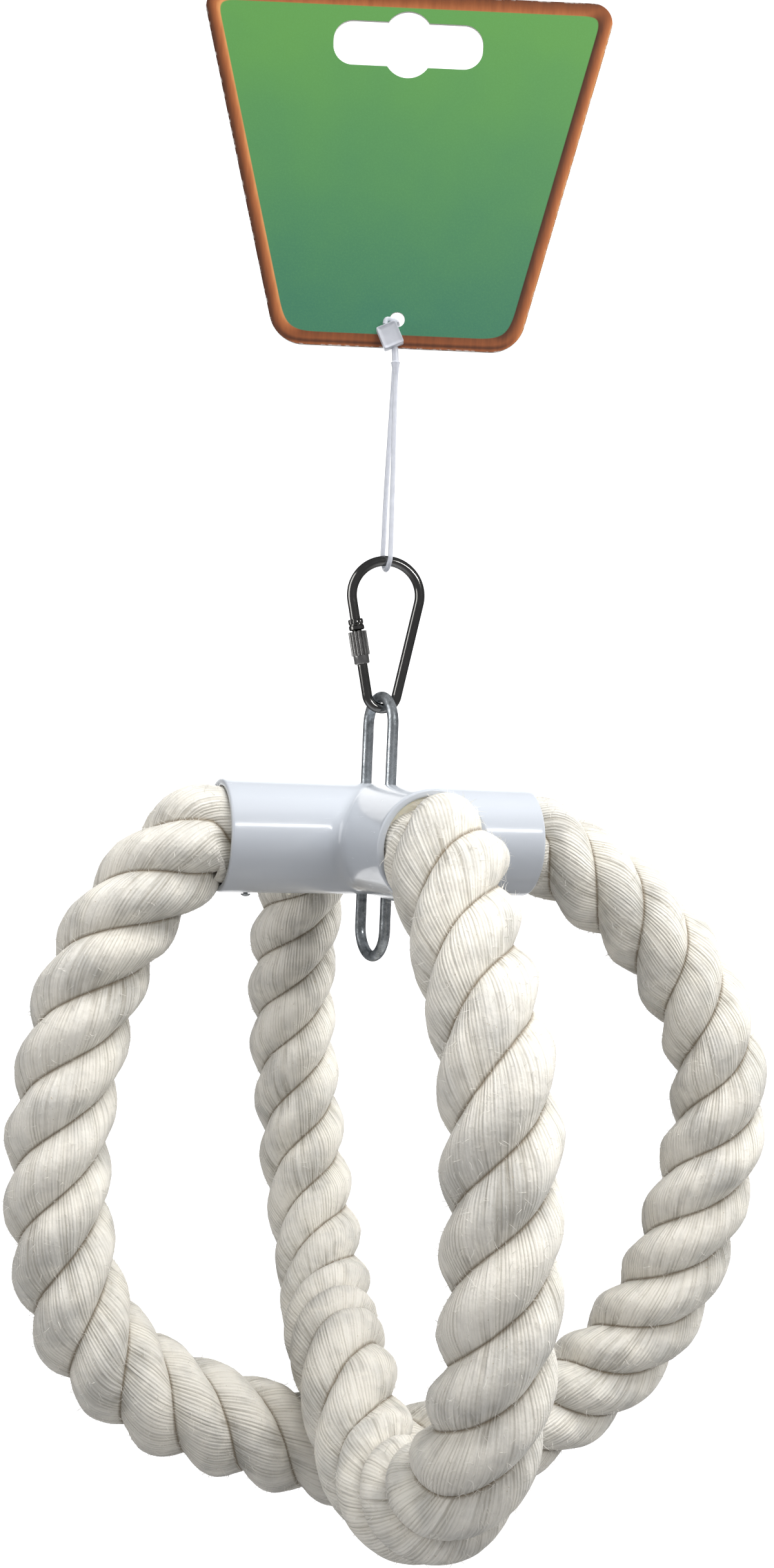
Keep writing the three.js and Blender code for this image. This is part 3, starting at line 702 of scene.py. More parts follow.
def cotton_material():
    """Soft cream cotton: fine yarns along the rope, with painted light on their crests and painted shade
    between them, painted shade in the creases and on the strands' flanks, and grey patches at random.
    """
    rope = settings().rope
    build = MaterialBuilder(
        "laid_cotton", Roughness=0.92, Sheen_Weight=0.15, Sheen_Roughness=0.6, Specular_IOR_Level=0.12
    )
    straight = build.add("ShaderNodeAttribute", output="Vector", attribute_name="straight")
    lift = build.add("ShaderNodeAttribute", output="Fac", attribute_name="lift")
    place = build.place()
    axes = build.node("ShaderNodeSeparateXYZ", {"Vector": straight}).outputs
    bearing = build.math("ARCTAN2", axes["Y"], axes["X"])
    round_rope = build.vector_math("NORMALIZE", build.scaled(straight, (1.0, 1.0, 0.0)))
    round_rope = build.scaled(round_rope, (rope.diameter / 2,) * 3)
    along_yarns = build.vector_math("ADD", round_rope, build.scaled(straight, (0.0, 0.0, 0.06)))
    wander = build.times(build.noise(along_yarns, 260, 2.0, 0.55), 9.0)
    yarn = build.math("SINE", build.plus(build.times(bearing, rope.yarns), wander))
    bundles = build.noise(along_yarns, 420, 2.0, 0.6)
    streaks = build.noise(along_yarns, 1100, 3.0, 0.65)
    nubs = build.noise(place, 1100, 3.0, 0.65)
    patches = build.noise(place, 75, 3.0, 0.65)
    specks = build.noise(place, 1700, 1.0, 0.5)
    # Grey patches at random
    cotton = build.cover(rope.crest_colour, rope.grey_colour, patches, 0.44, 0.64, 0.0, 0.72)
    cotton = build.cover(cotton, rope.light_colour, bundles, 0.42, 0.66, 0.0, 0.40)
    # Painted light on each yarn's crest
    cotton = build.cover(cotton, rope.light_colour, yarn, 0.2, 0.95, 0.0, 0.16)
    # Painted shade in the grooves between yarns, where the bundles let it show
    gap = build.times(build.remap(yarn, -0.25, -0.95), build.remap(bundles, 0.58, 0.36, 0.0, 0.65))
    cotton = build.mix(gap, cotton, rope.gap_colour)
    # Dark streaks between the fibres, painted shade: in random patches and heavier away from the crests
    mark_share = build.times(build.remap(patches, 0.40, 0.60, 0.25, 1.0), build.remap(lift, 0.95, 0.35, 0.45, 1.0))
    shadow = build.times(build.remap(streaks, 0.50, 0.34, 0.0, 0.80), mark_share)
    cotton = build.mix(shadow, cotton, rope.streak_colour)
    # Painted shade on the strands' flanks, darkest next to the creases
    cotton = build.cover(cotton, rope.streak_colour, lift, 0.05, 0.50, 0.22, 0.0)
    # Painted shade in the creases between the strands
    cotton = build.cover(cotton, rope.crease_colour, lift, 0.0, 0.15, 0.92, 0.0)
    cotton = build.cover(cotton, COTTON_SPECK, specks, 0.75, 0.79, 0.0, 0.6)
    height = build.plus(build.times(yarn, 0.10), bundles)
    height = build.plus(height, build.times(streaks, 0.8))
    height = build.plus(height, build.times(nubs, 0.35))
    return build.finish(Base_Color=cotton, Normal=build.bump(height, 0.9, 0.5 * MM))


def fibre_material():
    """Loose cotton fibres, a shade lighter than the rope."""
    rope = settings().rope
    build = MaterialBuilder("cotton_fibre", Roughness=0.9, Sheen_Weight=0.2)
    tint = build.ramp(build.noise(build.place(), 400), [(0.3, FIBRE_SHADE), (0.7, FIBRE_LIGHT)])
    return build.finish(Base_Color=tint)


def plastic_material():
    """Glossy bluish white moulded plastic with faint flow marks and handling scratches."""
    hub = settings().hub
    build = MaterialBuilder("hub_plastic", Specular_IOR_Level=0.55, Coat_Weight=0.25, Coat_Roughness=0.06)
    place = build.place()
    tint = build.cover(hub.plastic, PLASTIC_FLOW, build.noise(place, 38, 3.0, 0.55), 0.35, 0.7, 0.0, 0.30)
    scratches = build.noise(build.scaled(place, (160.0, 160.0, 1900.0)), 1.0, 4.0, 0.7)
    roughness = build.remap(scratches, 0.35, 0.75, 0.14, 0.30)
    peel = build.bump(build.noise(place, 420), 0.05, 0.1 * MM)
    return build.finish(Base_Color=tint, Roughness=roughness, Normal=peel)


def glue_material():
    """Milky set glue with a warm tint and small bubbles."""
    hub = settings().hub
    build = MaterialBuilder(
        "set_glue",
        Roughness=0.3,
        Specular_IOR_Level=0.5,
        Subsurface_Weight=0.25,
        Subsurface_Radius=(4 * MM, 3 * MM, 2 * MM),
    )
    cloud = build.noise(build.place(), 260, 3.0, 0.6)
    tint = build.cover(hub.glue, GLUE_CLOUD, cloud, 0.3, 0.7)
    return build.finish(Base_Color=tint, Normal=build.bump(cloud, 0.3, 0.2 * MM))


def nickel_material(name, plate, gloss, dull, edge):
    """Dark nickel plate with fine rubbed marks, its roughness between two values and its edges tinted."""
    build = MaterialBuilder(name, Metallic=1.0, Specular_Tint=grey(edge))
    place = build.place()
    rubbed = build.noise(place, 900, 4.0, 0.65)
    tint = build.cover(plate, settings().wire.nickel_dark, build.noise(place, 160), 0.35, 0.7, 0.0, 0.5)
    roughness = build.remap(rubbed, 0.3, 0.75, gloss, dull)
    return build.finish(Base_Color=tint, Roughness=roughness, Normal=build.bump(rubbed, 0.04, 0.05 * MM))


def zinc_material():
    """Dull galvanised wire: mottled grey with bright specks and a grainy surface."""
    wire = settings().wire
    build = MaterialBuilder("galvanised_zinc", Metallic=0.85, Specular_Tint=grey(0.0))
    place = build.place()
    mottle = build.noise(place, 330, 4.0, 0.7)
    grain = build.noise(place, 2100, 2.0, 0.6)
    tint = build.cover(wire.zinc, wire.zinc_dark, mottle, 0.42, 0.68)
    tint = build.cover(tint, ZINC_SPARK, grain, 0.60, 0.72, 0.0, 0.6)
    roughness = build.remap(mottle, 0.3, 0.7, 0.20, 0.46)
    return build.finish(Base_Color=tint, Roughness=roughness, Normal=build.bump(grain, 0.35, 0.12 * MM))


def nylon_material():
    """Translucent bluish nylon."""
    loop = settings().loop
    build = MaterialBuilder("clear_nylon", Roughness=0.28, Transmission_Weight=0.35, IOR=1.46)
    haze = build.noise(build.place(), 500)
    tint = build.cover(loop.nylon, NYLON_HAZE, haze, 0.35, 0.7)
    return build.finish(Base_Color=tint, Normal=build.bump(haze, 0.15, 0.1 * MM))


def board_material():
    """Plain uncoated board."""
    card = settings().card
    build = MaterialBuilder("plain_board", Roughness=0.8, Specular_IOR_Level=0.25)
    fibres = build.noise(build.scaled(build.place(), (1.0, 1.0, 0.3)), 1400, 3.0, 0.6)
    tint = build.cover(card.board, BOARD_FIBRE, fibres, 0.3, 0.7)
    return build.finish(Base_Color=tint, Normal=build.bump(fibres, 0.2, 0.08 * MM))


def print_material():
    """Varnished green print that darkens downwards, inside a copper border shaded like a rounded frame."""
    card = settings().card
    build = MaterialBuilder("green_print", Specular_IOR_Level=0.45, Coat_Weight=0.2, Coat_Roughness=0.2)
    flat = build.add("ShaderNodeMapping", {"Vector": build.place(), "Rotation": (0.0, 0.0, -CARD_TURN)})
    axes = build.node("ShaderNodeSeparateXYZ", {"Vector": flat}).outputs
    across, up = axes["X"], axes["Z"]
    lean = card.side_lean
    fall = build.minus(card.above_eye, up)
    rise = build.minus(up, card.above_eye - card.height)
    half_width = build.minus(card.top_width / 2, build.times(fall, math.tan(lean)))
    from_left = build.times(build.plus(half_width, across), math.cos(lean))
    from_right = build.times(build.minus(half_width, across), math.cos(lean))
    rounding = card.border * 1.6
    inset = build.math("SMOOTH_MIN", from_left, from_right, 0.0)
    inset = build.math("SMOOTH_MIN", inset, fall, rounding)
    inset = build.math("SMOOTH_MIN", inset, rise, rounding * 1.6)
    frame_share = build.math("DIVIDE", inset, card.border)

    # Each edge of the border catches the light in its own way, the bottom edge last
    facing = 0.0
    for distance, light in ((from_left, -1.0), (from_right, 1.0), (fall, -0.45), (rise, 0.25)):
        on_edge = build.remap(build.minus(distance, inset), 0.0, card.border * 1.2, 1.0, 0.0)
        facing = build.plus(facing, build.times(on_edge, light))
    at_bottom = on_edge
    slope = build.minus(1.0, build.times(frame_share, 2.0))
    from_fold = build.math("ABSOLUTE", build.minus(frame_share, 0.30))
    bottom_fold = build.times(build.remap(from_fold, 0.0, 0.22, 0.75, 0.0), at_bottom)
    tone = build.minus(build.times(facing, slope), bottom_fold)
    grain = build.noise(build.scaled(flat, (1.0, 1.0, 0.15)), 900, 3.0, 0.6)
    tone = build.plus(tone, build.remap(grain, 0.3, 0.7, -0.12, 0.12))
    tints = (card.brown, BORDER_UMBER, BORDER_RUST, card.copper, BORDER_GLINT)
    border = build.ramp(build.remap(tone, -1.0, 1.0), list(zip((0.00, 0.25, 0.50, 0.78, 1.00), tints)))
    border = build.cover(border, card.brown, frame_share, 0.0, 0.10, 0.6, 0.0)

    cloud = build.remap(build.noise(flat, 60), 0.3, 0.7, -0.06, 0.06)
    depth = build.plus(build.math("DIVIDE", fall, card.height), cloud)
    green = build.ramp(depth, [(0.10, card.top_green), (0.92, card.bottom_green)])
    speckle = build.noise(flat, 2600, 2.0, 0.7)
    green = build.cover(green, PRINT_SPECKLE, speckle, 0.45, 0.75, 0.0, 0.16)
    tint = build.cover(border, green, frame_share, 0.97, 1.03)
    rubbed = build.remap(build.noise(flat, 700, 3.0, 0.7), 0.5, 0.62)
    mark_share = build.times(build.remap(inset, 0.0, 0.35 * MM, 0.75, 0.0), rubbed)
    tint = build.mix(mark_share, tint, card.board)
    roughness = build.remap(speckle, 0.3, 0.7, 0.34, 0.48)
    return build.finish(Base_Color=tint, Roughness=roughness, Normal=build.bump(speckle, 0.04, 0.05 * MM))


def floor_material():
    """Pale matt floor."""
    stage = settings().stage
    build = MaterialBuilder("pale_floor", Roughness=0.9)
    tint = build.mix(build.noise(build.place(), 8), stage.floor, FLOOR_CLOUD)
    return build.finish(Base_Color=tint)


def backdrop_material():
    """White backdrop lit from behind."""
    floor = settings().stage.floor
    return MaterialBuilder(
        "lit_backdrop", Base_Color=floor, Roughness=0.9, Emission_Color=grey(1.0), Emission_Strength=1.0
    ).finish()


def rope_tree(material):
    """Three strands laid into a rope along a curve. Stores where each point lies on the straightened rope."""
    measures = ("Crest diameter", "Lay length", "Strand offset", "Unevenness", "Step")
    build, given = new_tree("laid_rope", measures, ("Section points",))
    crest = build.times(given["Crest diameter"], 0.5)
    line = build.add(
        "GeometryNodeResampleCurve", {"Curve": given["Geometry"], "Length": given["Step"]}, mode="LENGTH"
    )
    along = build.add("GeometryNodeSplineParameter", output="Length")
    turn = build.times(along, build.math("DIVIDE", 2 * math.pi, given["Lay length"]))
    line = build.store(build.store(line, "along", along), "turn", turn)
    line = build.add("GeometryNodeSetCurveTilt", {"Curve": line, "Tilt": turn})

    sides, offset = given["Section points"], given["Strand offset"]
    section = build.circle(sides, 1.0)
    around = build.times(build.add("GeometryNodeInputIndex"), 2 * math.pi)
    around = build.math("DIVIDE", around, sides)
    strand = 2 * math.pi / 3
    sector = build.minus(build.math("FLOORED_MODULO", around, strand), strand / 2)
    aside = build.times(offset, build.math("SINE", sector))
    forward = build.times(offset, build.math("COSINE", sector))
    strand_radius = build.minus(crest, offset)
    bulge = build.minus(build.math("POWER", strand_radius, 2.0), build.math("POWER", aside, 2.0))
    reach = build.plus(forward, build.math("SQRT", bulge))
    section = build.store(build.store(section, "around", around), "reach", reach)
    corner = build.polar(reach, around)
    section = build.add("GeometryNodeSetPosition", {"Geometry": section, "Position": corner})

    swollen = build.add("GeometryNodeInputRadius")
    rope = build.tube(line, section, swollen)
    stored = {}
    for name in ("along", "turn", "around", "reach"):
        stored[name] = build.add("GeometryNodeInputNamedAttribute", {"Name": name}, data_type="FLOAT")
    bearing = build.plus(stored["around"], stored["turn"])
    straight = build.polar(stored["reach"], bearing, Z=stored["along"])
    rope = build.store(rope, "straight", straight, "FLOAT_VECTOR")
    lift = build.remap(stored["reach"], build.times(crest, 0.735), crest)
    rope = build.store(rope, "lift", lift)
    lumps = build.minus(build.noise(straight, 130), 0.5)
    swell = build.times(lumps, build.times(given["Unevenness"], 2.0))
    normal = build.add("GeometryNodeInputNormal")
    push = build.add("ShaderNodeVectorMath", {0: normal, "Scale": swell}, operation="SCALE")
    rope = build.add("GeometryNodeSetPosition", {"Geometry": rope, "Offset": push})
    return end_tree(build, rope, material)


def fuzz_tree(material):
    """Loose fibres standing off a surface, most of them lying nearly flat."""
    build, given = new_tree("rope_fuzz", ("Fibres", "Fibre length", "Fibre radius"), ("Seed",))
    size = given["Fibre length"]
    scattered = build.node(
        "GeometryNodeDistributePointsOnFaces",
        {"Mesh": given["Geometry"], "Density": given["Fibres"], "Seed": given["Seed"]},
        distribute_method="RANDOM",
    ).outputs
    knee = build.vector(Z=build.times(size, 0.6))
    tip = build.vector(X=build.times(size, 0.35), Z=size)
    bow = build.add(
        "GeometryNodeCurveQuadraticBezier",
        {"Resolution": 2, "Start": (0.0, 0.0, 0.0), "Middle": knee, "End": tip},
    )
    section = build.circle(3, given["Fibre radius"])
    along = build.add("GeometryNodeSplineParameter", output="Factor")
    thin = build.minus(1.0, build.times(along, 0.8))
    fibre = build.tube(bow, section, thin)
    lean = build.add(
        "FunctionNodeRandomValue",
        {0: (-1.1, -1.1, 0.0), 1: (1.1, 1.1, 6.28), "Seed": given["Seed"]},
        data_type="FLOAT_VECTOR",
    )
    lean = build.add("FunctionNodeEulerToRotation", {"Euler": lean})
    rotation = build.add(
        "FunctionNodeRotateRotation",
        {"Rotation": scattered["Rotation"], "Rotate By": lean},
        rotation_space="LOCAL",
    )
    scale = build.add("FunctionNodeRandomValue", {2: 0.35, 3: 1.0, "Seed": 11}, output=1, data_type="FLOAT")
    placed = build.copies(fibre, scattered["Points"], Rotation=rotation, Scale=scale)
    return end_tree(build, placed, material)


def brad_tree(material):
    """A round-headed brad at each point, its head below and its shank upwards."""
    build, given = new_tree("brads", ("Brad head", "Brad head height", "Brad shank", "Brad length"))
    ball = build.add("GeometryNodeMeshUVSphere", {"Segments": 24, "Rings": 12, "Radius": 0.5})
    wide, high = given["Brad head"], build.times(given["Brad head height"], 2.0)
    oval = build.vector(X=wide, Y=wide, Z=high)
    head = build.add("GeometryNodeTransform", {"Geometry": ball, "Scale": oval})
    position = build.add("GeometryNodeInputPosition")
    height = build.add("ShaderNodeSeparateXYZ", {"Vector": position}, output="Z")
    upper = build.add(
        "FunctionNodeCompare", {0: height, 1: 1e-6}, data_type="FLOAT", operation="GREATER_THAN"
    )
    level = build.scaled(position, (1.0, 1.0, 0.0))
    head = build.add("GeometryNodeSetPosition", {"Geometry": head, "Selection": upper, "Position": level})
    root = build.times(given["Brad shank"], 0.5)
    point = build.times(root, 0.35)
    shank = build.add(
        "GeometryNodeMeshCone",
        {"Vertices": 16, "Radius Top": point, "Radius Bottom": root, "Depth": given["Brad length"]},
    )
    brad = build.add("GeometryNodeJoinGeometry", {"Geometry": [head, shank]})
    points = build.add("GeometryNodeMeshToPoints", {"Mesh": given["Geometry"]})
    return end_tree(build, build.copies(brad, points), material)


def ridge_tree(material):
    """Straight ridges set round the nut's core, which comes in as the geometry."""
    build, given = new_tree("nut_ridges", ("Nut diameter", "Nut ridge", "Nut grip"), ("Nut ridges",))
    ridge, grip = given["Nut ridge"], given["Nut grip"]
    reach = build.minus(build.times(given["Nut diameter"], 0.5), ridge)
    ring = build.circle(given["Nut ridges"], reach)
    rod = build.add("GeometryNodeMeshCylinder", {"Vertices": 10, "Radius": ridge, "Depth": grip})
    lift = build.vector(Z=build.times(grip, 0.5))
    rod = build.add("GeometryNodeTransform", {"Geometry": rod, "Translation": lift})
    nut = build.add("GeometryNodeJoinGeometry", {"Geometry": [given["Geometry"], build.copies(rod, ring)]})
    return end_tree(build, nut, material)


def rope_stops(out, near_points, far_points, drop):
    """The stops of a rope that leaves one socket and comes back into the opposite one."""
    rope = settings().rope
    out = Vector(out)
    across = Vector((abs(out.y), abs(out.x), 0))
    tails = [rope.end_reach, (rope.end_reach + HUB_REACH) / 2, HUB_REACH, HUB_REACH + rope.straight]

    def placed(direction, stop):
        along, aside, fallen = stop
        return HUB + direction * (HUB_REACH + along) + across * aside - UP * (fallen * drop)

    stops = [HUB + out * reach for reach in tails]
    stops += [placed(out, stop) for stop in near_points]
    stops += [placed(-out, stop) for stop in far_points]
    stops += [HUB - out * reach for reach in reversed(tails)]
    return stops


def add_spline(curve, points):
    """Adds a straight-sided line to a curve."""
    spline = curve.splines.new("POLY")
    spline.points.add(len(points) - 1)
    spline.points.foreach_set("co", np.c_[points, np.ones(len(points))].ravel())
    return spline


def rope_curve(name, line, radii):
    """A curve object through the points, with the rope's swelling as its radius."""
    curve = bpy.data.curves.new(name, "CURVE")
    curve.dimensions = "3D"
    add_spline(curve, line).points.foreach_set("radius", radii)
    return add_object(name, curve)


def make_rope(name, node, out, near_points, far_points, drop, swell, tree):
    """One laid rope, which takes the place of its CAD node."""
    rope = settings().rope
    line = curve_through(rope_stops(out, near_points, far_points, drop), 2 * MM)
    along = np.concatenate([[0], np.cumsum(np.linalg.norm(np.diff(line, axis=0), axis=1))])
    in_socket = HUB_REACH - rope.end_reach
    past_mouth = along - in_socket
    free = np.clip(np.minimum(past_mouth, along[-1] - in_socket - along) / ROPE_OPENING, 0, 1)
    squeeze = rope.diameter / rope.crest_diameter
    radii = squeeze + (1 - squeeze) * free * free * (3 - 2 * free)
    radii += swell * free * np.exp(-(((past_mouth - SWELL_MIDDLE) / SWELL_SPREAD) ** 2))
    made = solve_nodes(name, rope_curve(name + "_line", line, radii), tree, rope)
    finish_piece(made, "toy", [node], smooth_angle=60)


class ROPERING_OT_ropes(bpy.types.Operator):
    bl_idname = "rope_ring.ropes"
    bl_label = "Ropes"

    def execute(self, context):
        rope = settings().rope
        tree = rope_tree(cotton_material())
        side = (SIDE_ROUTE_LEFT, SIDE_ROUTE_RIGHT, rope.side_drop, 0.0)
        front = (FRONT_ROUTE_FRONT, FRONT_ROUTE_BACK, rope.front_drop, rope.mouth_swell)
        make_rope("side_rope_laid", "side_rope", (-1, 0, 0), *side, tree)
        make_rope("front_rope_laid", "front_rope", (0, -1, 0), *front, tree)
        return {"FINISHED"}


class ROPERING_OT_fuzz(bpy.types.Operator):
    """Scatters loose fibres over the ropes"""

    bl_idname = "rope_ring.fuzz"
    bl_label = "Rope fuzz"

    def execute(self, context):
        rope = settings().rope
        tree = fuzz_tree(fibre_material())
        for seed, name in enumerate(("side_rope", "front_rope"), start=3):
            source = add_object(name + "_surface", bpy.data.objects[name + "_laid"].data.copy())
            finish_piece(solve_nodes(name + "_fuzz", source, tree, rope, Seed=seed), "toy")
        return {"FINISHED"}


def hub_arm(outer, inner, lip, seam, columns=96):
    """Points and faces of one socket along +X, from its seams out to its mouth and back inside."""
    around = bearings(columns)
    cosine, sine = np.cos(around), np.sin(around)
    fillet = np.maximum(seam * cosine ** 2, 1e-9)
    straight = HUB_REACH - lip
    rows = []
    for step in np.linspace(0, 1, 44) ** 1.6:
        radius = np.full(columns, outer)
        for _ in range(40):
            along = radius * np.abs(cosine) * (1 - step) + straight * step
            own = radius - outer
            other = np.sqrt(along ** 2 + (radius * sine) ** 2) - outer
            overlap = np.maximum(fillet - np.abs(own - other), 0) / fillet
            radius = radius - 0.6 * (np.minimum(own, other) - overlap ** 2 * fillet / 4)
        rows.append((along, radius))
    lip_turns = np.linspace(0, np.pi / 2, 6)
    for turn in lip_turns[1:]:
        rows.append((straight + lip * math.sin(turn), np.full(columns, outer - lip + lip * math.cos(turn))))
    for turn in lip_turns:
        rows.append((straight + lip * math.cos(turn), np.full(columns, inner + lip - lip * math.sin(turn))))
    for step in np.linspace(1, 0, 20)[1:]:
        rows.append((inner * np.abs(cosine) * (1 - step) + straight * step, np.full(columns, inner)))
    points = np.vstack([np.c_[np.broadcast_to(x, columns), r * cosine, r * sine] for x, r in rows])
    return points, ring_faces(len(rows), columns)


def link_strands():
    """Which way the long link lies across, and how far its two strands are from its middle."""
    wire = settings().wire
    across = Vector((math.cos(wire.link_turn), math.sin(wire.link_turn), 0))
    return across, (wire.link_width - wire.link_wire) / 2


class ROPERING_OT_hub(bpy.types.Operator):
    """Moulds the four-way hub with its glue"""

    bl_idname = "rope_ring.hub"
    bl_label = "Hub"

    def execute(self, context):
        hub = settings().hub
        arm_points, arm_faces = hub_arm(HUB_RADIUS, hub.bore / 2, hub.lip, hub.seam)
        arms = [(turn_about_z(arm_points, quarter * math.pi / 2), arm_faces) for quarter in range(4)]
        points, faces = joined(*arms)
        shell = add_object("hub_shell", mesh_from("hub_shell", points + np.array(HUB), faces))
        shell.data.materials.append(plastic_material())
        across, strand = link_strands()
        rods = []
        for side in (1, -1):
            foot = HUB + across * side * strand
            ends = [foot - UP * 2 * HUB_RADIUS, foot + UP * 2 * HUB_RADIUS]
            rods.append(sweep(ends, hub.link_hole / 2, 40))
        drill = add_object("drill", mesh_from("drill", *joined(*rods)))
        cut = shell.modifiers.new("link_holes", "BOOLEAN")
        cut.object = drill
        cut.solver = "EXACT"
        shell.data = baked(shell)
        bpy.data.objects.remove(drill)
        finish_piece(shell, "toy", ["cross_hub"])
        self.make_glue(hub)
        return {"FINISHED"}

    def make_glue(self, hub):
        """The core inside with a plug in each socket, a bead round the front rope, and a tail at the back."""
        glue = glue_material()
        radius, reach = hub.glue_diameter / 2, hub.glue_reach
        profile = [
            (0, -reach), (radius * 0.8, -reach), (radius, -reach * 0.93),
            (radius, reach * 0.93), (radius * 0.8, reach), (0, reach),
        ]
        bars = [moved(turned(profile, 48), HUB, out) for out in ((1, 0, 0), (0, 1, 0))]
        bore, depth = hub.bore / 2, hub.plug_depth
        plug = turned([(0, 0), (bore, 0), (bore, depth), (0, depth)], 64)
        inside = HUB_REACH - hub.plug_inset - depth
        bars += [moved(plug, HUB + Vector(out) * inside, out) for out in SOCKETS]
        add_piece("glue_core_set", joined(*bars), glue, "toy", ["glue_core"])
        add_piece("glue_drips", joined(self.bead(hub), self.tail()), glue, "toy")

    def bead(self, hub):
        """A bead of glue on the front rope, thick in its middle."""
        reach = hub.bore / 2 - BEAD_WALL
        front = BEAD_INSET - HUB_REACH
        turns = np.radians(np.linspace(20, 95, 10))
        stops = [HUB + Vector((reach * math.cos(a), front, reach * math.sin(a))) for a in turns]
        line = curve_through(stops, 0.5 * MM)
        swell = np.sin(np.linspace(0.08, math.pi - 0.08, len(line))) ** 0.7
        return sweep(line, BEAD_RADIUS * swell, 16)

    def tail(self):
        """The glue that ran out of the back socket."""
        mouth = HUB + Vector((0, HUB_REACH, 0))
        line = curve_through([mouth + Vector(stop) * MM for stop in TAIL_ROUTE], 0.4 * MM)
        radii = np.interp(np.linspace(0, 1, len(line)), TAIL_SHARES, TAIL_RADII)
        return sweep(line, radii, 16)


class ROPERING_OT_brads(bpy.types.Operator):
    """Drives a brad up through each socket"""

    bl_idname = "rope_ring.brads"
    bl_label = "Brads"

    def execute(self, context):
        hub = settings().hub
        reach = HUB_REACH - hub.brad_inset
        below = Vector((0, 0, -HUB_RADIUS - hub.brad_gap))
        places = [HUB + below + Vector(out) * reach for out in SOCKETS]
        source = add_object("brad_places", mesh_from("brad_places", places, []))
        brads = solve_nodes("brads_set", source, brad_tree(zinc_material()), hub)
        finish_piece(brads, "toy", ["brad_left", "brad_right", "brad_front", "brad_back"])
        return {"FINISHED"}


class ROPERING_OT_long_link(bpy.types.Operator):
    """Bends the long galvanised link through the hub"""

    bl_idname = "rope_ring.long_link"
    bl_label = "Long link"

    def execute(self, context):
        wire = settings().wire
        low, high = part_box("hanging_link")
        across, strand = link_strands()
        top = high.z - wire.link_width / 2
        bottom = low.z + wire.link_width / 2
        bend = np.linspace(0, math.pi, 49)[:-1]
        straight = np.linspace(0, 1, 41)[:-1]
        line = [(strand * math.cos(a), top + strand * math.sin(a)) for a in bend]
        line += [(-strand, top + (bottom - top) * s) for s in straight]
        line += [(-strand * math.cos(a), bottom - strand * math.sin(a)) for a in bend]
        line += [(strand, bottom + (top - bottom) * s) for s in straight]
        points = [(a * across.x, a * across.y, z) for a, z in line]
        shape = sweep(points, wire.link_wire / 2, 32, closed=True)
        add_piece("long_link", shape, zinc_material(), "toy", ["hanging_link"])
        return {"FINISHED"}


def gate_leg():
    """Where the pear link's gate leg starts under the bow, its lean, and the height of the bow's middle."""
    radius = settings().wire.bow_radius
    lean = math.acos(-NUT_DIRECTION.z)
    bow = BOW_WIRE.z - radius
    start = Vector((-radius * math.cos(lean), 0, bow - radius * math.sin(lean)))
    return Matrix.Rotation(PEAR_TURN, 3, "Z") @ start, lean, bow


def nut_start():
    """From the start of the gate leg to the nut."""
    wire = settings().wire
    return wire.collar_start + wire.collar_length + wire.collar_gap


class ROPERING_OT_pear_link(bpy.types.Operator):
    """Bends the pear link, with its collar and threaded ends"""

    bl_idname = "rope_ring.pear_link"
    bl_label = "Pear link"

    def execute(self, context):
        wire = settings().wire
        start, lean, bow = gate_leg()
        foot = FOOT_WIRE.z + wire.foot_radius
        upper_end = nut_start() + wire.stub
        lower_end = upper_end + wire.gate
        thread_end = lower_end + THREAD_LENGTH
        leg_length = (bow - foot) * math.cos(lean)

        def on_arc(height, radius, turns):
            flat = [(radius * math.cos(a), 0, height + radius * math.sin(a)) for a in turns]
            return turn_about_z(flat, PEAR_TURN)

        def on_leg(distances):
            return [start + NUT_DIRECTION * d for d in distances]

        fine = wire.thread_pitch / 8
        join, in_collar = 0.2 * MM, nut_start() - 0.5 * MM
        stub = on_leg(np.arange(upper_end, in_collar, -fine))
        upper = on_leg(np.linspace(in_collar, join, 16))
        over = on_arc(bow, wire.bow_radius, np.linspace(math.pi + lean, -lean, 90))
        under = on_arc(foot, wire.foot_radius, np.linspace(-lean, lean - math.pi, 48))
        right_leg = np.linspace(over[-1], under[0], 42)[1:-1]
        left_leg = on_leg(np.linspace(leg_length - join, thread_end, 10))
        lower = on_leg(np.arange(thread_end, lower_end, -fine))[1:]
        line = np.vstack([stub, upper, over, right_leg, under, left_leg, lower])
        sides = 32
        radii = np.full((len(line), sides), wire.pear_wire / 2)
        around = np.arange(sides) / sides
        for row in (*range(len(stub)), *range(len(line) - len(lower), len(line))):
            phase = (row * fine / wire.thread_pitch + around) % 1
            radii[row] -= wire.thread_depth * np.abs(2 * phase - 1)
        radii[[0, -1]] *= 0.8
        shape = joined(sweep(line, radii, sides), self.collar(start))
        plate = nickel_material("polished_nickel", wire.nickel, 0.09, 0.20, 0.0)
        add_piece("pear_link", shape, plate, "carabiner", ["carabiner_body"])
        return {"FINISHED"}

    def collar(self, start):
        """The ring upset on the wire's upper end: a notched crown above a groove and a plain foot."""
        wire = settings().wire
        edge, high = COLLAR_EDGE, wire.collar_length
        radius, inside = wire.collar_diameter / 2, wire.pear_wire * 0.45
        groove = radius - edge * 0.8
        profile = [
            (inside, 0), (radius - 2 * edge, 0), (radius - 0.5 * edge, 0.35 * edge), (radius, 1.2 * edge),
            (radius, high * 0.40), (groove, high * 0.48), (groove, high * 0.56), (radius, high * 0.64),
            (radius, high - edge), (radius - edge, high), (inside, high),
        ]
        sides = 72
        notch = np.maximum(np.cos(bearings(sides) * wire.collar_notches), 0) ** 3 * wire.notch_depth
        line = [start + NUT_DIRECTION * (wire.collar_start + along) for _, along in profile]
        radii = np.array([np.full(sides, across) for across, _ in profile])
        radii[1:5] -= notch
        return ring_sweep(line, radii, NUT_DIRECTION)


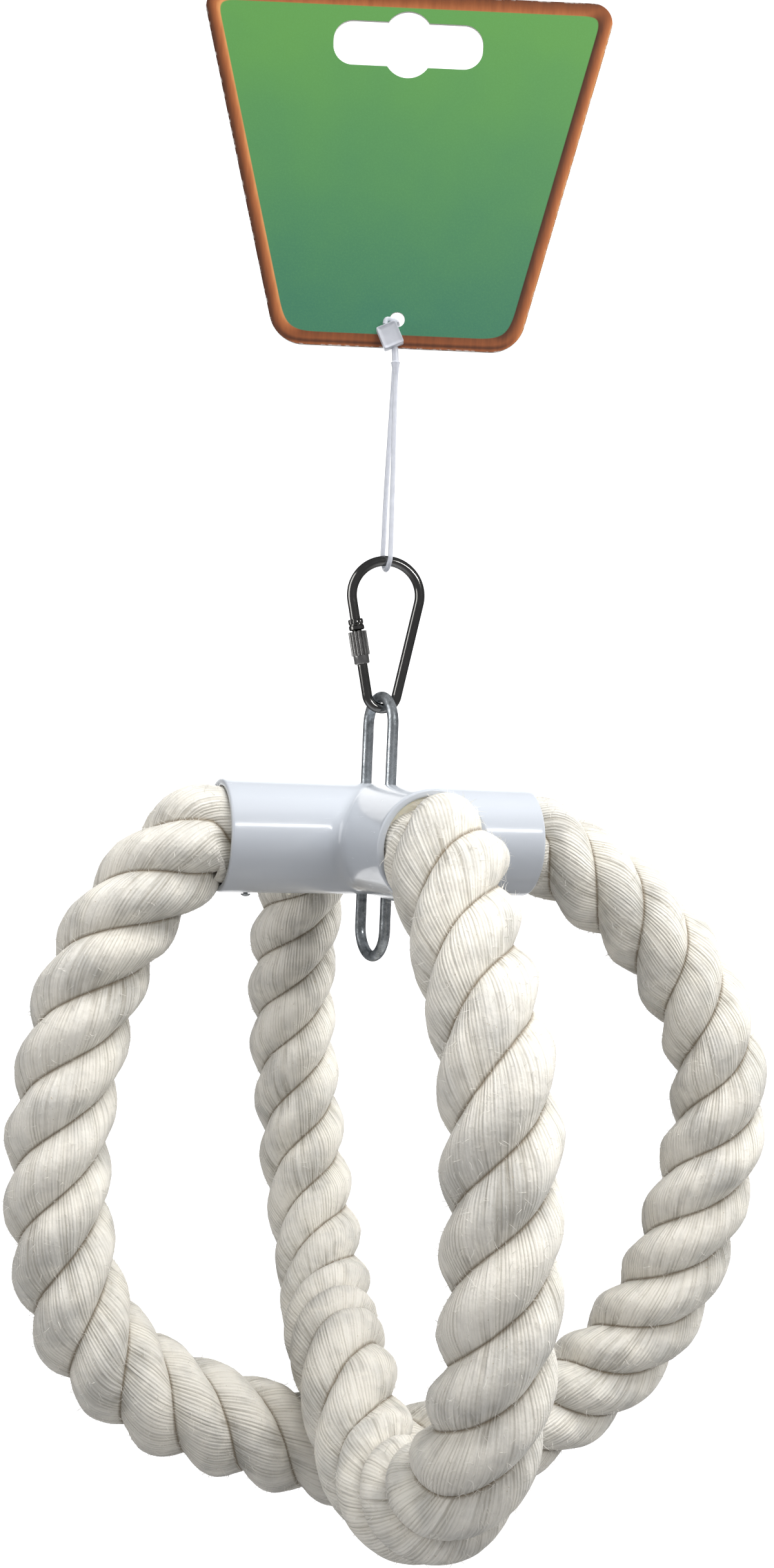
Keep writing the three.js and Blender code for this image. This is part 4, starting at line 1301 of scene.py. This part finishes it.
class ROPERING_OT_nut(bpy.types.Operator):
    """Turns the pear link's ridged nut"""

    bl_idname = "rope_ring.nut"
    bl_label = "Nut"

    def execute(self, context):
        wire = settings().wire
        edge, bore = NUT_EDGE, wire.nut_bore / 2
        core, nose = wire.nut_diameter / 2 - wire.nut_ridge, wire.nut_nose_diameter / 2
        grip, end = wire.nut_grip, wire.nut_grip + wire.nut_nose
        profile = [
            (bore, edge), (bore + edge, 0), (core - edge, 0), (core, edge), (core, grip - edge),
            (core - edge, grip), (nose, grip + 0.02 * MM), (nose, end - 2 * edge),
            (nose - edge * 0.6, end - edge * 0.6), (nose - 2 * edge, end), (bore + edge, end),
            (bore, end - edge), (bore, edge),
        ]
        source = add_object("nut_core", mesh_from("nut_core", *turned(profile, 66)))
        plate = nickel_material("ridged_nickel", wire.nut_nickel, 0.14, 0.28, 0.9)
        nut = solve_nodes("ridged_nut", source, ridge_tree(plate), wire)
        place = gate_leg()[0] + NUT_DIRECTION * nut_start()
        nut.data.transform(Matrix.Translation(place) @ turn_to(NUT_DIRECTION).to_4x4())
        finish_piece(nut, "nut", ["carabiner_nut"])
        return {"FINISHED"}


class ROPERING_OT_loop(bpy.types.Operator):
    """Threads the nylon loop through the card and under the bow, with its lock"""

    bl_idname = "rope_ring.loop"
    bl_label = "Nylon loop"

    def execute(self, context):
        loop = settings().loop
        card = settings().card
        seat, bow = STRAP_SEAT.z, BOW_WIRE.z
        front = card.thickness / 2 + loop.lock_gap + loop.lock_depth / 2
        behind = card.thickness / 2 + 2 * loop.lock_gap + loop.strap
        lock = Vector((-LOCK_ASIDE, -front, seat - LOCK_BELOW))
        axis = Vector((-math.sin(loop.lock_tilt), 0, math.cos(loop.lock_tilt)))
        half = axis * (loop.lock_height / 2 + loop.lock_gap)
        lock_foot = lock - half
        neck_foot = Vector((0.2 * MM, -front, lock_foot.z - loop.neck_length))

        def at(across, depth, height):
            return Vector((across * MM, depth, height))

        under = []
        for turn in range(0, 181, 20):
            a = math.radians(turn)
            across = -1 + 1.6 * turn / 180
            under.append(at(across, loop.bend * math.cos(a), bow - loop.bend * math.sin(a)))
        stops = [
            lock + half,
            at(-2.45, -0.95 * front, seat + 0.3 * MM),
            at(-0.9, -0.55 * front, seat + 0.45 * MM),
            at(0, 0, seat + 0.15 * MM),
            at(0.1, 0.85 * behind, seat - 0.5 * MM),
            at(0, behind, seat - 4 * MM),
            at(-0.4, behind, seat - 18 * MM),
            at(-0.9, 1.08 * loop.bend, bow + 16 * MM),
            at(-1, 1.03 * loop.bend, bow + 6 * MM),
            *under,
            at(0.6, -1.03 * loop.bend, bow + 6 * MM),
            at(0.5, -1.03 * loop.bend, bow + 16 * MM),
            neck_foot - UP * loop.neck_length,
            neck_foot,
        ]
        strap = sweep(curve_through(stops, 0.4 * MM), loop.strap / 2, 20)
        neck, high = loop.neck, (lock_foot - neck_foot).length
        profile = [
            (0, 0), (loop.strap / 2, 0), (neck * 0.38, high * 0.25), (neck / 2, high * 0.45),
            (neck * 0.36, high * 0.5), (neck * 0.36, high), (0, high),
        ]
        points, faces = joined(strap, moved(turned(profile, 28), neck_foot, lock_foot - neck_foot))
        nylon = nylon_material()
        shape = (turn_about_z(points, CARD_TURN), faces)
        add_piece("nylon_loop", shape, nylon, "loop", ["tag_loop"])
        self.make_lock(loop, lock, nylon)
        return {"FINISHED"}

    def make_lock(self, loop, lock, nylon):
        """The lock block: a rounded box with a sunk face."""
        shape = bmesh.new()
        bmesh.ops.create_cube(shape, size=1.0)
        bmesh.ops.scale(shape, vec=(loop.lock_width, loop.lock_depth, loop.lock_height), verts=shape.verts)
        front = [f for f in shape.faces if f.normal.y < -0.9]
        rim = bmesh.ops.inset_region(shape, faces=front, thickness=LOCK_RIM, depth=0)["faces"]
        sunk = [f for f in shape.faces if f.normal.y < -0.9 and f not in rim]
        sunk_points = list({v for f in sunk for v in f.verts})
        bmesh.ops.translate(shape, vec=(0, LOCK_SINK, 0), verts=sunk_points)
        edges = [e for e in shape.edges if e.calc_face_angle(0) > 0.5]
        bmesh.ops.bevel(
            shape,
            geom=edges,
            offset=loop.lock_corner,
            segments=4,
            profile=0.5,
            affect="EDGES",
            clamp_overlap=True,
        )
        mesh = bpy.data.meshes.new("loop_lock")
        bmesh.ops.recalc_face_normals(shape, faces=shape.faces)
        shape.to_mesh(mesh)
        shape.free()
        tilt = Matrix.Rotation(-loop.lock_tilt, 4, "Y")
        mesh.transform(Matrix.Rotation(CARD_TURN, 4, "Z") @ Matrix.Translation(lock) @ tilt)
        mesh.materials.append(nylon)
        finish_piece(add_object("loop_lock", mesh), "loop", ["tag_loop_lock"])


def arc(centre, radius, start, end, steps=14):
    """Points of an arc in the card's plane, its angles in degrees."""
    turns = np.radians(np.linspace(start, end, steps))
    return [(centre[0] + radius * math.cos(a), centre[1] + radius * math.sin(a)) for a in turns]


def rounded_outline(corners, radii):
    """A polygon's corners rounded off."""
    outline = []
    for i, corner in enumerate(corners):
        corner = Vector(corner)
        to_before = (Vector(corners[i - 1]) - corner).normalized()
        to_after = (Vector(corners[(i + 1) % len(corners)]) - corner).normalized()
        half = to_before.angle(to_after) / 2
        centre = corner + (to_before + to_after).normalized() * radii[i] / math.sin(half)
        first = corner + to_before * radii[i] / math.tan(half) - centre
        start = math.degrees(math.atan2(first.y, first.x))
        outline += arc(centre, radii[i], start, start + 180 - math.degrees(2 * half))
    return outline


def slot_outline(card):
    """The slot: two round-cornered arms that meet in a round eye, whose top is at the peg."""
    eye, arm, bow, corner = card.eye / 2, card.slot_height / 2, card.eye_bow, card.slot_corner
    reach = card.slot_width / 2 - corner
    meet = math.degrees(math.asin((bow - eye + arm) / bow))
    low, high = -eye - arm + corner, -eye + arm - corner
    return (
        arc((reach, low), corner, -90, 0)
        + arc((reach, high), corner, 0, 90)
        + arc((0, -bow), bow, meet, 180 - meet, 24)
        + arc((-reach, high), corner, 90, 180)
        + arc((-reach, low), corner, 180, 270)
        + arc((0, bow - card.eye), bow, 180 + meet, 360 - meet, 24)
    )


class ROPERING_OT_card(bpy.types.Operator):
    """Cuts and prints the header card"""

    bl_idname = "rope_ring.card"
    bl_label = "Header card"

    def execute(self, context):
        card = settings().card
        top, bottom = card.above_eye, card.above_eye - card.height
        half_top = card.top_width / 2
        half_bottom = half_top - card.height * math.tan(card.side_lean)
        corners = [(-half_bottom, bottom), (half_bottom, bottom), (half_top, top), (-half_top, top)]
        radii = [card.bottom_corner, card.bottom_corner, card.top_corner, card.top_corner]
        hole = arc((0, bottom + card.tag_hole_height), card.tag_hole / 2, 0, 360, 33)[:-1]
        curve = bpy.data.curves.new("card_outline", "CURVE")
        curve.dimensions = "2D"
        curve.fill_mode = "BOTH"
        curve.extrude = card.thickness / 2 - CARD_EDGE
        curve.bevel_depth = CARD_EDGE
        curve.bevel_resolution = 1
        curve.offset = -CARD_EDGE
        for outline in (rounded_outline(corners, radii), slot_outline(card), hole):
            add_spline(curve, np.c_[outline, np.zeros(len(outline))]).use_cyclic_u = True
        flat = add_object("card_flat", curve)
        mesh = baked(flat)
        bpy.data.objects.remove(flat)
        mesh.name = "printed_card"
        upright = Matrix.Rotation(CARD_TURN, 4, "Z") @ Matrix.Rotation(math.pi / 2, 4, "X")
        mesh.transform(upright)
        cleaned(mesh)
        mesh.materials.clear()
        mesh.materials.append(print_material())
        mesh.materials.append(board_material())
        outward = upright.to_3x3() @ UP
        for face in mesh.polygons:
            face.material_index = 0 if face.normal.dot(outward) > 0.7 else 1
        finish_piece(add_object("printed_card", mesh), "card", ["header_card"], smooth_angle=10)
        return {"FINISHED"}


def area_light(name, place, aim, size, power, mirrored):
    """A soft rectangular light at a place, aimed at a point. One that isn't mirrored makes no highlights."""
    light = bpy.data.lights.new(name, "AREA")
    light.shape = "RECTANGLE"
    light.size, light.size_y = size
    light.energy = power
    made = add_object(name, light)
    made.visible_glossy = mirrored
    made.location = place
    made.rotation_mode = "QUATERNION"
    made.rotation_quaternion = (aim - place).to_track_quat("-Z", "Y")


def seen_from(azimuth, elevation):
    """The direction of a viewer, by the azimuth from the front and the elevation."""
    level = math.cos(elevation)
    return Vector((math.sin(azimuth) * level, -math.cos(azimuth) * level, math.sin(elevation)))


class ROPERING_OT_stage(bpy.types.Operator):
    """Sets up the camera, the lights, a pale floor and a lit backdrop"""

    bl_idname = "rope_ring.stage"
    bl_label = "Stage"

    def execute(self, context):
        stage = settings().stage
        self.make_camera(context, stage)
        self.make_floor(stage)
        for name, offset, size, power, mirrored in LIGHTS:
            area_light(name, HUB + Vector(offset), HUB, size, power, mirrored)
        world = bpy.data.worlds.new("studio")
        world.use_nodes = True
        sky = world.node_tree.nodes["Background"].inputs
        sky["Color"].default_value = SKY_COLOUR
        sky["Strength"].default_value = SKY_STRENGTH
        context.scene.world = world
        context.scene.view_settings.view_transform = "Standard"
        return {"FINISHED"}

    def make_camera(self, context, stage):
        back = seen_from(stage.look_azimuth, stage.look_down)
        level = Vector((math.cos(stage.look_azimuth), math.sin(stage.look_azimuth), 0))
        above = back.cross(level)
        right = level * math.cos(stage.roll) + above * math.sin(stage.roll)
        up = above * math.cos(stage.roll) - level * math.sin(stage.roll)
        camera = bpy.data.cameras.new("photo_camera")
        camera.sensor_width = SENSOR_WIDTH
        camera.lens = stage.lens
        camera.clip_start = 10 * MM
        seen = add_object("photo_camera", camera)
        stand = HUB + seen_from(stage.azimuth, stage.elevation) * stage.distance
        seen.matrix_world = Matrix.Translation(stand) @ Matrix((right, up, back)).transposed().to_4x4()
        context.scene.camera = seen

    def make_floor(self, stage):
        """A pale floor, and a lit white backdrop behind the part."""
        half, wide = FLOOR_HALF, BACKDROP_HALF
        far, high = BACKDROP_FAR, BACKDROP_HEIGHT
        floor_points = [(-half, -half, 0), (half, -half, 0), (half, half, 0), (-half, half, 0)]
        drop_points = [(-wide, far, 0), (wide, far, 0), (wide, far, high), (-wide, far, high)]
        for name, points, material in (
            ("floor", floor_points, floor_material()),
            ("backdrop", drop_points, backdrop_material()),
        ):
            mesh = bpy.data.meshes.new(name)
            lifted = turn_about_z(points, stage.look_azimuth) + np.array((0, 0, stage.floor_height))
            mesh.from_pydata(lifted.tolist(), [], [(0, 1, 2, 3)])
            made = add_object(name, mesh)
            made.data.materials.append(material)
            made.visible_diffuse = name == "floor"


class ROPERING_PT_panel(bpy.types.Panel):
    """Lists the pieces of the rope cross ring"""

    bl_idname = "ROPERING_PT_panel"
    bl_label = "Rope Cross Ring"
    bl_space_type = "VIEW_3D"
    bl_region_type = "UI"
    bl_category = "Rope Ring"

    def draw(self, context):
        for operator in OPERATORS:
            self.layout.operator(operator.bl_idname)
        for name in RopeRingSettings.__annotations__:
            box = self.layout.box()
            box.label(text=name.capitalize())
            group = getattr(context.scene.rope_ring, name)
            for field in group.__annotations__:
                box.prop(group, field)


SETTINGS = (
    RopeSettings,
    HubSettings,
    WireSettings,
    LoopSettings,
    CardSettings,
    StageSettings,
    RopeRingSettings,
)
OPERATORS = (
    ROPERING_OT_ropes,
    ROPERING_OT_fuzz,
    ROPERING_OT_hub,
    ROPERING_OT_brads,
    ROPERING_OT_long_link,
    ROPERING_OT_pear_link,
    ROPERING_OT_nut,
    ROPERING_OT_loop,
    ROPERING_OT_card,
    ROPERING_OT_stage,
)


def register():
    for kind in (*SETTINGS, *OPERATORS, ROPERING_PT_panel):
        bpy.utils.register_class(kind)
    bpy.types.Scene.rope_ring = bpy.props.PointerProperty(type=RopeRingSettings)


def unregister():
    del bpy.types.Scene.rope_ring
    for kind in reversed((*SETTINGS, *OPERATORS, ROPERING_PT_panel)):
        bpy.utils.unregister_class(kind)


def main():
    register()
    bpy.ops.rope_ring.ropes()
    bpy.ops.rope_ring.fuzz()
    bpy.ops.rope_ring.hub()
    bpy.ops.rope_ring.brads()
    bpy.ops.rope_ring.long_link()
    bpy.ops.rope_ring.pear_link()
    bpy.ops.rope_ring.nut()
    bpy.ops.rope_ring.loop()
    bpy.ops.rope_ring.card()
    bpy.ops.rope_ring.stage()


if __name__ == "__main__":
    main()
